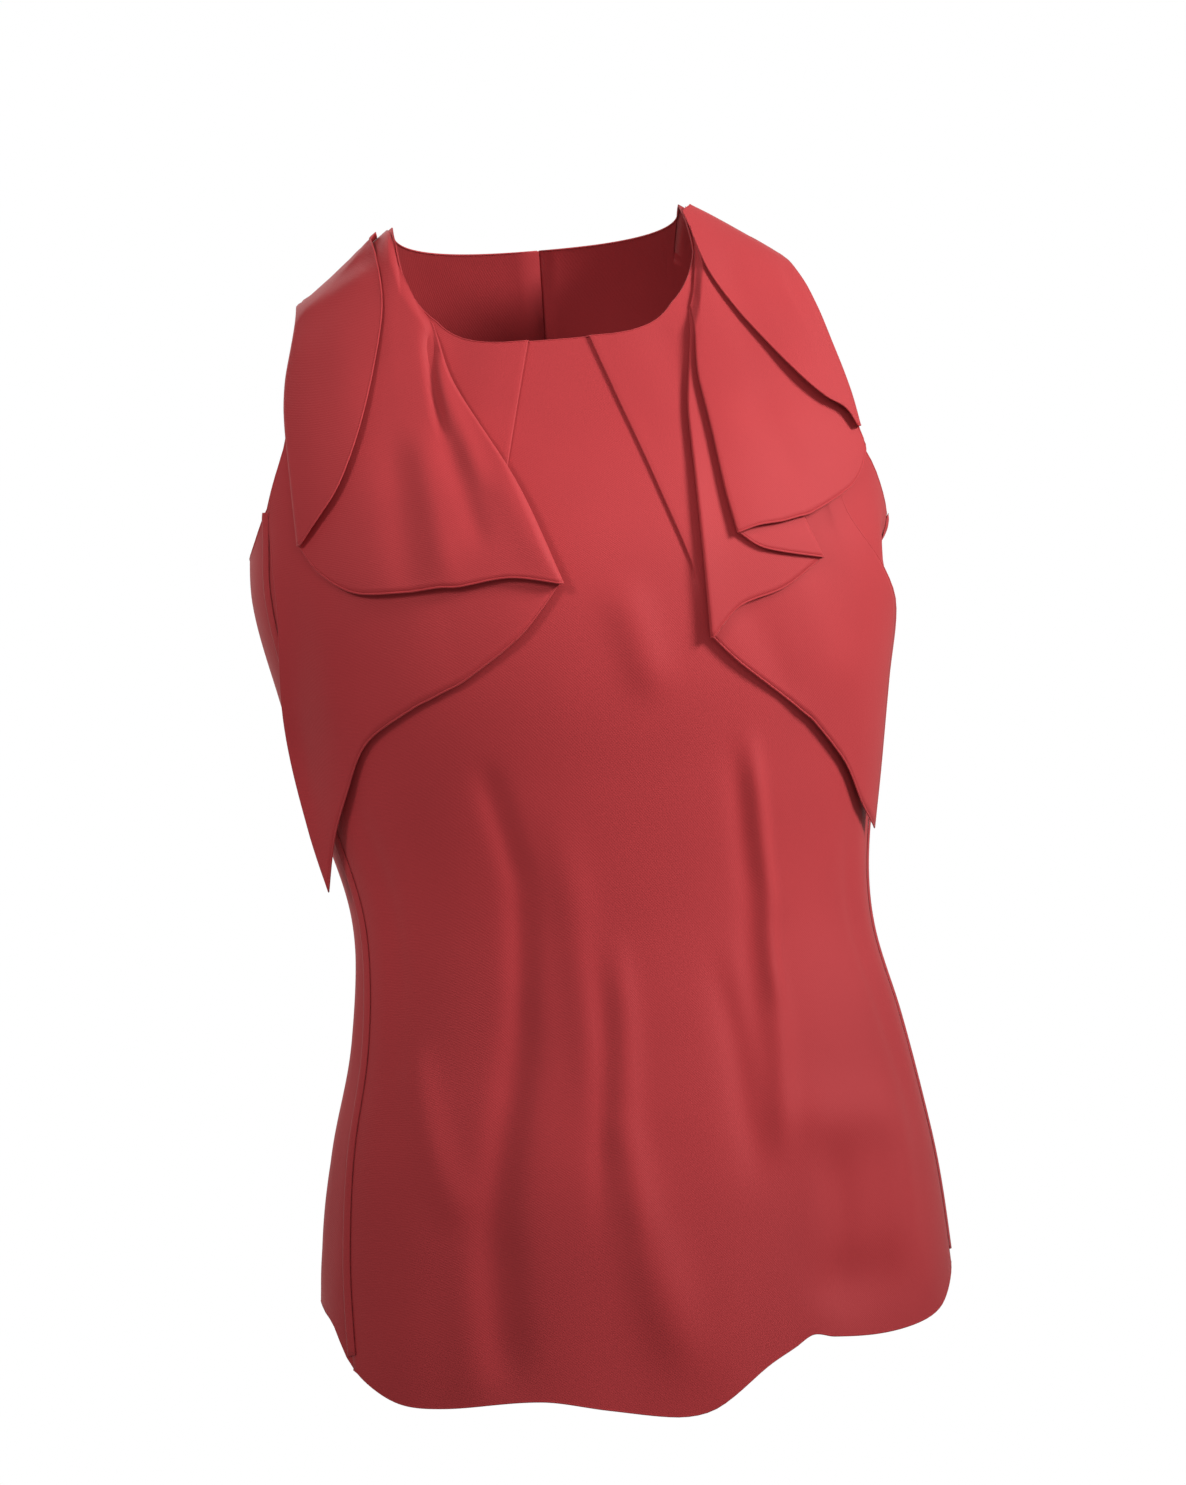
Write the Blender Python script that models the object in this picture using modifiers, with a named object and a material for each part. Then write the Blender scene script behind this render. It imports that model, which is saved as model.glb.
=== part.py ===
"""Sleeveless crepe blouse with two cascade ruffles, in the hollow form it is worn in.

Front, back, one ruffle at each shoulder, and the button and loop that close the nape.
Metres. The front faces -Y, the wearer's left is +X, +Z is up. The origin lies midway
between the two points where the shoulder seams meet the neck.
"""
import math

import bmesh
import bpy
from mathutils import Vector

MM = 0.001
WALL = 1.2 * MM            # thickness of the cloth walls
SEAM_GAP = 0.6 * MM        # clear space between two pieces at a seam

# Neck, shoulder and armhole.
NECK_HALF = 78 * MM        # half the width of the neck opening
NECK_FRONT_DROP = 67 * MM  # depth of the neckline at the centre front
NECK_BACK_DROP = 16 * MM   # and at the centre back
NECK_POWER = 0.70          # 1 is a round neckline, less is squarer
SHOULDER_HALF = 130 * MM   # half the width across the shoulder tips
SHOULDER_DROP = 38 * MM    # fall of the shoulder seam from neck to tip
SHOULDER_ROUND = 75 * MM   # height over which the shoulder rounds off
CHEST_HEIGHT = -190 * MM   # all panels are full width from here down
SIDE_POWER = 0.85          # 1 is an oval section, less is squarer

# The body the cloth hangs on, as level sections (mm).
BODY_COLUMNS = ("height", "half_width", "front", "back", "side", "centre_x")
BODY = (
    (20, 148, 52, 46, 10, 0), (-35, 152, 54, 62, 10, 0), (-70, 156, 68, 74, 10, 0),
    (-100, 160, 86, 81, 10, 0), (-125, 163, 102, 85, 10, 0), (-150, 165, 114, 88, 11, 0),
    (-190, 167, 125, 90, 14, 0), (-240, 158, 127, 86, 18, 0.5),
    (-300, 146, 117, 74, 20, 2.5), (-350, 135.5, 109, 64, 20, 5),
    (-385, 135, 106, 61, 20, 6), (-430, 143, 107, 68, 18, 8), (-476, 153.5, 111, 78, 14, 6),
    (-510, 159.5, 113, 84, 12, 5), (-550, 164, 115, 88, 10, 3.5), (-640, 170, 119, 93, 10, 1.5),
)

# Lower edge: angle round the body from the centre front, height of the hem (mm).
HEM_COLUMNS = ("angle", "height")
HEM = (
    (-180, -612), (-140, -606), (-112, -575), (-92, -556), (-76, -561), (-60, -596),
    (-50, -609), (-40, -615), (-20, -616), (-8, -621), (3, -629), (9, -630),
    (17, -621), (27, -603), (34, -592), (42, -595), (58, -593), (72, -585),
    (90, -562), (112, -575), (140, -606), (180, -612),
)

# Long soft folds of the lower body: angle at the hem and at the top, height of the top
# (mm), half width (degrees), depth at the hem (mm, outwards is positive).
FOLD_COLUMNS = ("hem_angle", "top_angle", "top", "half_width", "depth")
FOLDS = (
    (-40, -31, -330, 7, -5), (-26, -20, -300, 5, 4), (-3, 2, -380, 7, -6),
    (14, 14, -400, 6, 4), (29, 31, -270, 5, -5), (45, 45, -470, 8, -5),
    (62, 60, -380, 9, 4), (118, 118, -430, 9, -5), (149, 150, -400, 9, 5),
    (180, 180, -380, 9, -6), (-150, -150, -400, 9, 5), (-118, -118, -430, 9, -5),
)

# Armhole edges, from the side seam up to the shoulder tip: angle round the body, height.
ARM_COLUMNS = ("angle", "height")
FRONT_ARM_RIGHT = ((-72, -142), (-67.5, -125), (-61.5, -107), (-58.4, -86), (-58.2, -60))
FRONT_ARM_LEFT = ((88, -170), (78, -148), (66, -124), (60, -100), (58.4, -68))
BACK_ARM_RIGHT = ((-72, -142), (-84, -162), (-97, -166), (-110, -145), (-119, -100))
BACK_ARM_LEFT = ((88, -170), (95, -174), (104, -162), (113, -135), (119.5, -95))

# Angle of the panel edges and guide lines at the chest and at the hem (degrees). Above 1,
# a bend keeps a guide line at its chest angle until close to the upper edge, and a crowd
# brings the rows closer together there.
GUIDE_COLUMNS = ("station", "chest", "hem", "bend", "crowd")
FRONT_GUIDES = (
    (0, -72, -62, 1, 1), (0.8, -51, -46, 3, 1.1), (1, -46, -42, 5, 1.5),
    (2, -37, -35, 5, 1.5), (2.95, -14, -14, 1.2, 1.2), (3, 1, 1, 1, 1.2),
    (3.084, 21.5, 22, 1.15, 1.2), (4, 38, 38, 5, 1.5), (5, 47, 47, 5, 1.5),
    (5.2, 53, 54, 3, 1.1), (6, 88, 88, 1, 1),
)
BACK_GUIDES = (
    (0, -72, -62, 1, 1), (0.8, -123, -118, 3, 1.1), (1, -136, -130, 3, 1.5),
    (2, -156, -153, 2, 1.5), (3, -180, -180, 1, 1.2), (4, -204, -207, 2, 1.5),
    (5, -224, -230, 3, 1.5), (5.2, -237, -240, 3, 1.1), (6, -272, -272, 1, 1),
)

# Pressed pleats of the neckline, one each side of the centre front.
PLEAT_DEPTH = 9 * MM
PLEAT_FLAT = 9 * MM        # half the width of the cloth it lets out below its end
PLEAT_PITCH = WALL + 0.9 * MM
PLEAT_TURN = 3             # steps round each of its two turns
PLEAT_ARM = 160 * MM       # distance from the middle of the body at which it is measured
STRIP_FALL = 0.30          # stations over which the strip beside it comes down again
PLEAT_COLUMNS = ("side", "station", "full_to", "gone_at")
PLEATS = ((-1, 2.95, -108, -157), (1, 3.084, -135, -222))

# Slit of the nape and what closes it.
SLIT_LENGTH = 90 * MM
SLIT_HALF = 0.5 * MM
BUTTON_RADIUS = 5.0 * MM
BUTTON_THICK = 2.4 * MM
BUTTON_DROP = 7 * MM       # below the neck edge
BUTTON_SIDE = 6.6 * MM     # from the slit
LOOP_RADIUS = 0.7 * MM

# Ruffle lines, each from its root at the neck or shoulder down to the hem of the ruffle.
# Every point is x, height, stand-off from the bodice (mm), as seen from the front. A line
# marked "turn" is an edge where the cloth folds over: it also has the side it faces and the
# half depth of the fold at the root and at the hem.
RUFFLE_RIGHT = (
    ("line", ((-86.5, -0.6, 6), (-84.5, -13, 6.4))),
    ("line", ((-97, -8.3, 6), (-89, -22, 6.8), (-84, -41, 8.2))),
    ("line", ((-105, -14.2, 6), (-97, -42, 8.2), (-91.5, -73, 10.5))),
    ("line", ((-113, -20, 6), (-108, -60, 9.2), (-102.5, -106, 13.0))),
    ("line", ((-120, -24.8, 6.4), (-119, -78, 9.5), (-115, -133, 14.0))),
    ("line", ((-126, -29.1, 6.4), (-130, -88, 9.5), (-128, -150.5, 14.0))),
    ("turn", ((-131, -34, 5.1), (-134.5, -61, 5.9), (-140, -92, 7.2), (-140.5, -128, 9.0),
              (-140, -163, 11.0)), -1, 1.3, 2.2),
    ("line", ((-126, -31.5, 3.8), (-131, -105, 6.0), (-129, -178, 9.0))),
    ("line", ((-106, -16.9, 3.8), (-114, -100, 6.0), (-112, -190, 9.5))),
    ("line", ((-81, 1.8, 4.3), (-86, -95, 7.0), (-88, -192, 10.5))),
    ("line", ((-79.8, -4, 4.2), (-83, -98, 7.3), (-79, -191.7, 10.8))),
    ("line", ((-78.8, -11, 4.0), (-80, -101, 7.6), (-70, -191, 11.1))),
    ("line", ((-78, -20, 3.8), (-76, -105, 8.0), (-60, -190.5, 11.5))),
    ("line", ((-71, -40, 3.8), (-55, -112, 9.4), (-34, -189, 12.0))),
    ("turn", ((-63.5, -53, 2.9), (-56.5, -78, 4.9), (-43.5, -104, 7.3), (-25, -142, 8.8),
              (-7, -196, 9.2)), 1, 0.9, 2.6),
    ("line", ((-71, -40, 2.0), (-56, -128, 5.4), (-31, -219, 6.4))),
    ("line", ((-78, -20, 2.0), (-77, -130, 3.4), (-62, -240.5, 5.0))),
    ("line", ((-78.8, -11, 2.1), (-80.5, -128.5, 3.2), (-70, -244, 5.0))),
    ("line", ((-79.8, -4, 2.3), (-84.5, -126.7, 3.1), (-79, -248, 5.0))),
    ("line", ((-81, 0.1, 2.5), (-88, -125, 3.0), (-88, -252, 5.0))),
    ("line", ((-106, -18.6, 2), (-112, -140, 3.0), (-112, -268, 5.5))),
    ("line", ((-121, -29.6, 2), (-128, -150, 3.0), (-124, -294, 6.0))),
    ("line", ((-127, -33.9, 2), (-134, -92, 2.4), (-146, -150, 2.6), (-147, -210, 3.0),
              (-144, -265, 4.0), (-132.5, -316, 7.5))),
    ("line", ((-131, -36.9, 2), (-137.5, -95, 2.0), (-153, -140, 2.0), (-154, -200, 2.2),
              (-155, -252, 3.6), (-147.5, -304, 6.5), (-139.5, -345, 9.0))),
)

RUFFLE_LEFT = (
    ("line", ((86, 0.5, 6.8), (83.5, -13, 8.0))),
    ("line", ((95, -6.1, 6.8), (90, -20, 8.2), (88.5, -36, 9.6))),
    ("line", ((102, -11.2, 6.8), (100, -34, 8.8), (100, -57, 11.0))),
    ("line", ((108, -15.6, 6.8), (110, -46, 9.6), (112, -74, 13.0))),
    ("line", ((113, -19.3, 6.8), (120, -57, 10.6), (125, -91, 15.0))),
    ("line", ((118, -22.9, 6.8), (131, -64, 11.6), (140, -106.5, 16.5))),
    ("turn", ((123.5, -28.2, 5.4), (138, -50, 7.8), (146.5, -80, 10.2), (153, -110, 12.5),
              (158.5, -135, 14.0)), 1, 1.4, 3.0),
    ("line", ((117, -24.8, 4), (137, -88, 7.5), (149, -153, 11.5))),
    ("line", ((100, -12.4, 4), (124, -86, 7.5), (139, -161, 11.5))),
    ("line", ((81, 2, 4.5), (106, -85, 8.0), (126, -168, 12.0))),
    ("line", ((79.8, -4, 5.0), (103, -89, 8.6), (121, -169, 12.3))),
    ("line", ((78.8, -11, 5.5), (99.5, -93, 9.2), (116, -170, 12.5))),
    ("line", ((78, -22, 6.0), (96, -98, 9.8), (111, -171, 12.8))),
    ("line", ((74, -45, 7.3), (87, -105, 10.6), (99, -172, 13.4))),
    ("turn", ((71, -54, 6.4), (75.6, -83, 8.4), (79.8, -115, 9.7), (84, -152, 10.8),
              (88, -175, 11.6)), -1, 0.9, 1.4),
    ("line", ((73.5, -47, 5.5), (83, -105, 7.6), (101, -184, 9.8))),
    ("turn", ((75, -42, 4.6), (92, -92, 6.4), (112, -142, 7.4), (131, -191, 8.2)),
     1, 0.9, 1.3),
    ("line", ((73.5, -47, 3.7), (88, -118, 5.2), (110, -205, 6.6))),
    ("line", ((72, -52, 3.7), (80, -128, 5.4), (86, -213, 7.2))),
    ("turn", ((70, -57, 2.8), (69.7, -98, 4.8), (69.7, -154, 7.2), (70, -228, 7.4)),
     -1, 0.9, 2.2),
    ("line", ((73, -48, 1.9), (77, -140, 3.7), (84, -241, 5.4))),
    ("line", ((77.5, -30, 1.9), (92, -142, 2.8), (104, -258, 4.8))),
    ("line", ((78.6, -13, 2.0), (98, -141, 2.8), (110, -263, 4.9))),
    ("line", ((79.8, -5, 2.2), (104, -140.5, 2.8), (115, -268, 5.0))),
    ("line", ((81, 0.1, 2.5), (110, -140, 2.8), (120, -273, 5.0))),
    ("line", ((104, -17.2, 1.9), (128, -140, 3.0), (134, -294, 5.6))),
    ("line", ((121, -29.7, 1.9), (131, -140, 4.2), (147, -215, 6.2), (142.5, -316, 6.0))),
    ("line", ((128, -34.8, 1.9), (136, -105, 2.6), (143.5, -165, 5.0), (160, -196, 7.4),
              (167, -218, 8.6), (160.5, -256, 7.2), (153.5, -300, 6.2),
              (147.5, -338, 6.5))),
)
RUFFLE_ROWS = 14
ROOT_DENSITY = 1.35        # above 1, the rows lie closer together at the root
WIDE_STEP = 14             # lines further apart than this have columns between them (mm)
TURN_ANGLES = (62, 0, -62) # where round a turn its columns stand (degrees)

CREPE = (0.62, 0.085, 0.095)
BUTTON_COLOUR = (0.55, 0.07, 0.08)


# ---------------------------------------------------------------- curves and tables

def slope(points, index, value):
    """Slope of a table's column at one of its rows."""
    low, high = max(index - 1, 0), min(index + 1, len(points) - 1)
    step = points[high][0] - points[low][0]
    return (points[high][value] - points[low][value]) / step


def read_smooth(points, at, value):
    """A smooth value between the rows of a table whose first column rises or falls."""
    sign = 1 if points[-1][0] > points[0][0] else -1
    if sign * (at - points[0][0]) <= 0:
        return points[0][value]
    if sign * (at - points[-1][0]) >= 0:
        return points[-1][value]
    index = max(i for i in range(len(points) - 1) if sign * (at - points[i][0]) >= 0)
    span = points[index + 1][0] - points[index][0]
    share = (at - points[index][0]) / span
    start, end = points[index][value], points[index + 1][value]
    rise_a = slope(points, index, value) * span
    rise_b = slope(points, index + 1, value) * span
    return (start * (1 + 2 * share) * (1 - share) ** 2 + end * share ** 2 * (3 - 2 * share)
            + rise_a * share * (1 - share) ** 2 - rise_b * share ** 2 * (1 - share))


def read_straight(points, at, value):
    """A value on the straight line between two rows of a table."""
    for left, right in zip(points, points[1:]):
        if at <= right[0]:
            share = min(max((at - left[0]) / (right[0] - left[0]), 0), 1)
            return left[value] + share * (right[value] - left[value])
    return points[-1][value]


def ease(share):
    """0 to 1 with a soft start and a soft end."""
    share = min(max(share, 0), 1)
    return share * share * (3 - 2 * share)


def along(points, share):
    """The point of a smooth line through its points, at a share of its length."""
    travel = [0.0]
    for first, second in zip(points, points[1:]):
        travel.append(travel[-1] + math.dist(first, second))
    rows = [(way / travel[-1],) + tuple(point) for way, point in zip(travel, points)]
    if len(rows) == 2:
        return tuple(read_straight(rows, share, axis) for axis in (1, 2, 3))
    return tuple(read_smooth(rows, share, axis) for axis in (1, 2, 3))


# ---------------------------------------------------------------- form of the body

def shoulder_line(x):
    """Height of the shoulder seam at a distance from the centre."""
    return -SHOULDER_DROP * (abs(x) - NECK_HALF) / (SHOULDER_HALF - NECK_HALF)


def fold_depth(angle, height):
    """How far the long folds push the lower body out at a place."""
    total = 0.0
    for hem_angle, top_angle, top, half_width, depth in FOLDS:
        share = ease((top * MM - height) / (top * MM + 610 * MM))
        away = (angle - top_angle - (hem_angle - top_angle) * share + 180) % 360 - 180
        total += depth * MM * share * math.exp(-(away / half_width) ** 2)
    return total


def body_point(angle, height):
    """A point of the body's surface; the angle runs from the centre front (degrees)."""
    half, front, back, side, centre = (read_smooth(BODY, height / MM, i) * MM
                                       for i in (1, 2, 3, 4, 5))
    turn = math.radians(angle)
    out = fold_depth(angle, height)
    x = centre + half * math.sin(turn)
    squared = abs(math.cos(turn)) ** SIDE_POWER
    deep = -side + (side - front if math.cos(turn) > 0 else side + back) * squared
    reach = min(max((shoulder_line(x) - height) / SHOULDER_ROUND, 0), 1)
    deep *= math.sqrt(1 - (1 - reach) ** 2)
    return Vector((x + out * math.sin(turn), deep - out * math.cos(turn), height))


def body_normal(angle, height):
    """Direction straight out of the body's surface."""
    across = body_point(angle + 2, height) - body_point(angle - 2, height)
    up = body_point(angle, height + 1 * MM) - body_point(angle, height - 3 * MM)
    return across.cross(up).normalized()


def body_angle(x, height):
    """The angle at which the front of the body has a given x."""
    half, centre = (read_smooth(BODY, height / MM, i) * MM for i in (1, 5))
    return math.degrees(math.asin(min(max((x - centre) / half, -0.9995), 0.9995)))


# ---------------------------------------------------------------- panels

def arm_edge(table, share):
    """Angle and height of an armhole edge, 0 at the side seam and 1 at the shoulder."""
    tip_angle = body_angle(SHOULDER_HALF, -SHOULDER_DROP)
    sign = 1 if table[0][0] > 0 else -1
    if abs(table[-1][0]) > 90:
        tip_angle = 180 - tip_angle
    tip = (sign * tip_angle, -SHOULDER_DROP / MM)
    rows = [(row / len(table),) + point for row, point in enumerate(table + (tip,))]
    return read_smooth(rows, share, 1), read_smooth(rows, share, 2) * MM


def neck_edge(share, drop):
    """Distance from the centre and height of the neckline, 0 at the shoulder seam."""
    turn = math.radians(90 * (1 - share))
    x = NECK_HALF * math.sin(turn) ** NECK_POWER
    return x, -drop * max(math.cos(turn), 0.0) ** NECK_POWER


def top_edge(station, is_front):
    """Angle and height of a panel's upper edge. Stations 0, 1, 2, 3 are the side seam, the
    shoulder tip, the neck point and the centre; 4, 5, 6 are the same on the other side."""
    sign, place = (-1, station) if station <= 3 else (1, 6 - station)
    if place < 1:
        tables = ((FRONT_ARM_RIGHT, FRONT_ARM_LEFT) if is_front
                  else (BACK_ARM_RIGHT, BACK_ARM_LEFT))
        return arm_edge(tables[0 if sign < 0 else 1], place)
    if place < 2:
        x = SHOULDER_HALF + (place - 1) * (NECK_HALF - SHOULDER_HALF)
        height = shoulder_line(x)
    else:
        x, height = neck_edge(place - 2, NECK_FRONT_DROP if is_front else NECK_BACK_DROP)
    angle = body_angle(x, height)
    return sign * (angle if is_front else 180 - angle), height


def unwrap_back(angle):
    """Angles of the back run on from -72 through -180 to -272."""
    return angle - 360 if angle > 0 else angle


def panel_place(station, share, is_front, upper, aside=0):
    """Angle and height in a panel: share 0 at the chest, 1 at the upper or lower edge. The
    hem is read as far aside (degrees) as a pleat sets the column."""
    guides = FRONT_GUIDES if is_front else BACK_GUIDES
    chest = read_straight(guides, station, 1)
    if upper:
        share = 1 - (1 - share) ** read_straight(guides, station, 4)
        angle, height = top_edge(station, is_front)
        angle = angle if is_front else unwrap_back(angle)
        bent = share ** read_straight(guides, station, 3)
    else:
        angle = read_straight(guides, station, 2)
        height = read_smooth(HEM, (angle + aside + 180) % 360 - 180, 1) * MM
        bent = share
    return chest + (angle - chest) * bent, CHEST_HEIGHT + (height - CHEST_HEIGHT) * share


def pleat_state(pleat, height):
    """How deep a pleat is and how far its turns are bent at a height: it grows shallow
    first, then its two turns open out into flat cloth."""
    full_to, gone_at = pleat[2:]
    closed = ease((height - gone_at * MM) / ((full_to - gone_at) * MM))
    depth = PLEAT_DEPTH * max(2 * closed - 1, 0)
    return depth, math.pi * min(2 * closed, 1)


def pleat_shift(pleat, step, height):
    """Sideways and outward shift of one column of a pleat."""
    depth, bend = pleat_state(pleat, height)
    radius = PLEAT_PITCH / 2
    steps = 2 * PLEAT_TURN + 1
    if step == steps:
        sideways = max(depth + 2 * MM, PLEAT_FLAT + 3.5 * MM)
        return pleat[0] * sideways, radius * 2 * (1 - math.cos(bend))
    if step <= PLEAT_TURN:
        turn = bend * step / PLEAT_TURN
        sideways = depth + radius * math.sin(turn)
        outward = radius * (1 - math.cos(turn))
    else:
        turn = bend * (step - PLEAT_TURN) / PLEAT_TURN
        sideways = radius * (2 * math.sin(bend) - math.sin(bend - turn))
        outward = radius * (1 + math.cos(bend - turn) - 2 * math.cos(bend))
    flat = PLEAT_FLAT * (2 * step / (steps - 1) - 1)
    opened = 1 - bend / math.pi
    return pleat[0] * (sideways + opened * (flat - sideways)), outward


def strip_lift(station, height):
    """How far the strips beside the pleats are raised to lie on top of them."""
    total = 0.0
    for pleat in PLEATS:
        away = pleat[0] * (station - pleat[1])
        if away > 0:
            rise = PLEAT_PITCH * (1 - math.cos(pleat_state(pleat, height)[1]))
            total += rise * (1 - ease(away / STRIP_FALL))
    return total


def front_columns():
    """Stations of the front's columns; a pleat column carries its pleat and its step."""
    plain = [i / 8 for i in range(8)] + [1 + i / 3 for i in range(3)]
    plain += [2, 2.1, 2.22, 2.35, 2.48, 2.58]
    columns = [(station, None, 0) for station in plain]
    columns += [(3.0, None, 0)]
    columns += [(6 - station, None, 0) for station in reversed(plain)]
    for pleat in PLEATS:
        group = [(pleat[1], pleat, step) for step in range(2 * PLEAT_TURN + 2)]
        group = group if pleat[0] > 0 else group[::-1]
        at = sum(1 for column in columns if column[0] < pleat[1])
        columns[at:at] = group
    return columns


def front_point(column, share, upper):
    """A point of the front panel."""
    station, pleat, step = column
    angle, height = panel_place(station, share, True, upper)
    if pleat:
        aside = math.degrees(pleat_shift(pleat, step, height)[0] / PLEAT_ARM)
        height = panel_place(station, share, True, upper, aside)[1]
        sideways, outward = pleat_shift(pleat, step, height)
        angle += math.degrees(sideways / PLEAT_ARM)
    else:
        outward = strip_lift(station, height)
    normal = body_normal(angle, height)
    raised = Vector((normal.x, normal.y, 0.5 * normal.z))
    point = body_point(angle, height) + raised * (outward / raised.dot(normal))
    return point - Vector((0, SEAM_GAP / 2, 0))


def back_point(station, share, upper):
    """A point of the back panel."""
    angle, height = panel_place(station, share, False, upper)
    return body_point(angle, height) + Vector((0, SEAM_GAP / 2, 0))


# ---------------------------------------------------------------- ruffles

def stand_on(x, height, stand):
    """The point seen at x and height from the front, standing off the bodice."""
    base_x, base_height = x, height
    for _ in range(4):
        base_height = min(base_height, shoulder_line(base_x) - 0.2 * MM)
        angle = body_angle(base_x, base_height)
        normal = body_normal(angle, base_height)
        point = body_point(angle, base_height) + normal * stand
        base_x += 0.8 * (x - point.x)
        base_height += 0.8 * (height - point.z)
    return point - Vector((0, SEAM_GAP / 2, 0))


def turn_lines(points, side, half_root, half_hem, share):
    """The columns round a turn of the ruffle at a share of its length."""
    x, height, stand = along(points, share)
    half = half_root + (half_hem - half_root) * share
    row = []
    for turn in TURN_ANGLES:
        angle = math.radians(turn)
        row.append((x - side * half * (1 - math.cos(angle)), height,
                    stand + half * math.sin(angle)))
    return row


def ruffle_row(lines, share):
    """All columns of a ruffle at a share of the way from its root to its hem."""
    row = []
    for line in lines:
        if line[0] == "turn":
            row.extend(turn_lines(line[1], line[2], line[3], line[4], share))
        else:
            row.append(along(line[1], share))
    return row


def fill_row(row, widest, share):
    """A row with columns added where its lines lie far apart at the hem. The root follows
    the neck and shoulder straight from line to line; the rest is smooth."""
    soft = ease(share * 3)
    filled = [row[0]]
    for i in range(1, len(row)):
        ring = [row[max(i - 2, 0)], row[i - 1], row[i], row[min(i + 1, len(row) - 1)]]
        count = max(1, round(widest[i - 1] / WIDE_STEP))
        for step in range(1, count + 1):
            t = step / count
            curved = (-t * (1 - t) ** 2 / 2, 1 + t * t * (1.5 * t - 2.5),
                      t * (0.5 + t * (2 - 1.5 * t)), -t * t * (1 - t) / 2)
            weights = [soft * c + (1 - soft) * w for c, w in zip(curved, (0, 1 - t, t, 0))]
            filled.append(tuple(sum(w * point[axis] for w, point in zip(weights, ring))
                                for axis in range(3)))
    return filled


# ---------------------------------------------------------------- making the objects

def cloth_material(name, colour, roughness):
    """A plain surface for one sub-part."""
    material = bpy.data.materials.new(name)
    material.use_nodes = True
    shader = material.node_tree.nodes["Principled BSDF"]
    shader.inputs["Base Color"].default_value = (*colour, 1)
    shader.inputs["Roughness"].default_value = roughness
    shader.inputs["Metallic"].default_value = 0.0
    return material


def sheet_object(name, rows, split_rows=0):
    """A wall of cloth through rows of points, split open at the middle of its top rows."""
    mesh = bpy.data.meshes.new(name)
    work = bmesh.new()
    middle = len(rows[0]) // 2
    grid = [[work.verts.new(point) for point in row] for row in rows]
    opened = {}
    for number in range(split_rows):
        point = grid[number][middle]
        opened[number] = work.verts.new(point.co + Vector((SLIT_HALF, 0, 0)))
        point.co -= Vector((SLIT_HALF, 0, 0))
    for number, (first, second) in enumerate(zip(grid, grid[1:])):
        for i in range(len(first) - 1):
            corner = [first[i], first[i + 1], second[i + 1], second[i]]
            if i >= middle:
                pick = {middle: 0} if i == middle else {}
                if pick and number in opened:
                    corner[0] = opened[number]
                if pick and number + 1 in opened:
                    corner[3] = opened[number + 1]
            work.faces.new(corner)
    bmesh.ops.recalc_face_normals(work, faces=work.faces)
    work.to_mesh(mesh)
    work.free()
    mesh.polygons.foreach_set("use_smooth", [True] * len(mesh.polygons))
    piece = bpy.data.objects.new(name, mesh)
    wall = piece.modifiers.new("wall", "SOLIDIFY")
    wall.thickness = WALL
    wall.offset = 0
    wall.use_even_offset = True
    wall.use_quality_normals = True
    return piece


def panel_rows(point, columns, upper_rows, lower_rows):
    """Rows of a panel from its upper edge to its hem."""
    rows = [[point(column, 1 - i / upper_rows, True) for column in columns]
            for i in range(upper_rows)]
    rows += [[point(column, i / lower_rows, False) for column in columns]
             for i in range(lower_rows + 1)]
    return rows


def make_front():
    rows = panel_rows(front_point, front_columns(), 10, 18)
    return sheet_object("front_panel", rows)


def make_back():
    half = [i / 9 for i in range(9)] + [1 + i / 3 for i in range(3)]
    half += [2 + i * 0.2 for i in range(5)]
    stations = half + [3.0] + [6 - station for station in reversed(half)]
    rows = panel_rows(back_point, stations, 9, 18)
    slit_rows = 1 + round(9 * SLIT_LENGTH / (-CHEST_HEIGHT - NECK_BACK_DROP))
    return sheet_object("back_panel", rows, slit_rows)


def make_ruffle(name, lines):
    rows = []
    hem = ruffle_row(lines, 1)
    widest = [math.dist(first, second) for first, second in zip(hem, hem[1:])]
    for i in range(RUFFLE_ROWS + 1):
        share = (i / RUFFLE_ROWS) ** ROOT_DENSITY
        row = fill_row(ruffle_row(lines, share), widest, share)
        rows.append([stand_on(x * MM, z * MM, stand * MM) for x, z, stand in row])
    return sheet_object(name, rows)


def nape_place(x, drop, out):
    """A point standing off the back beside the slit."""
    height = -NECK_BACK_DROP - drop
    angle = 180 - body_angle(x, height)
    point = body_point(angle, height) + body_normal(angle, height) * out
    return point + Vector((0, SEAM_GAP / 2, 0))


def make_button():
    """A small round button with eased edges, on the wearer's left of the slit."""
    centre = nape_place(BUTTON_SIDE, BUTTON_DROP, WALL / 2 + 0.4 * MM + BUTTON_THICK / 2)
    normal = body_normal(180 - body_angle(BUTTON_SIDE, -NECK_BACK_DROP - BUTTON_DROP),
                         -NECK_BACK_DROP - BUTTON_DROP)
    mesh = bpy.data.meshes.new("nape_button")
    work = bmesh.new()
    bmesh.ops.create_cone(work, cap_ends=True, segments=20, radius1=BUTTON_RADIUS,
                          radius2=BUTTON_RADIUS, depth=BUTTON_THICK)
    rims = [edge for edge in work.edges if abs(edge.verts[0].co.z - edge.verts[1].co.z) < 1e-6]
    bmesh.ops.bevel(work, geom=rims, offset=0.5 * MM, segments=2, affect="EDGES")
    work.to_mesh(mesh)
    work.free()
    piece = bpy.data.objects.new("nape_button", mesh)
    piece.location = centre
    piece.rotation_mode = "QUATERNION"
    piece.rotation_quaternion = normal.to_track_quat("Z", "Y")
    return piece


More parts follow.
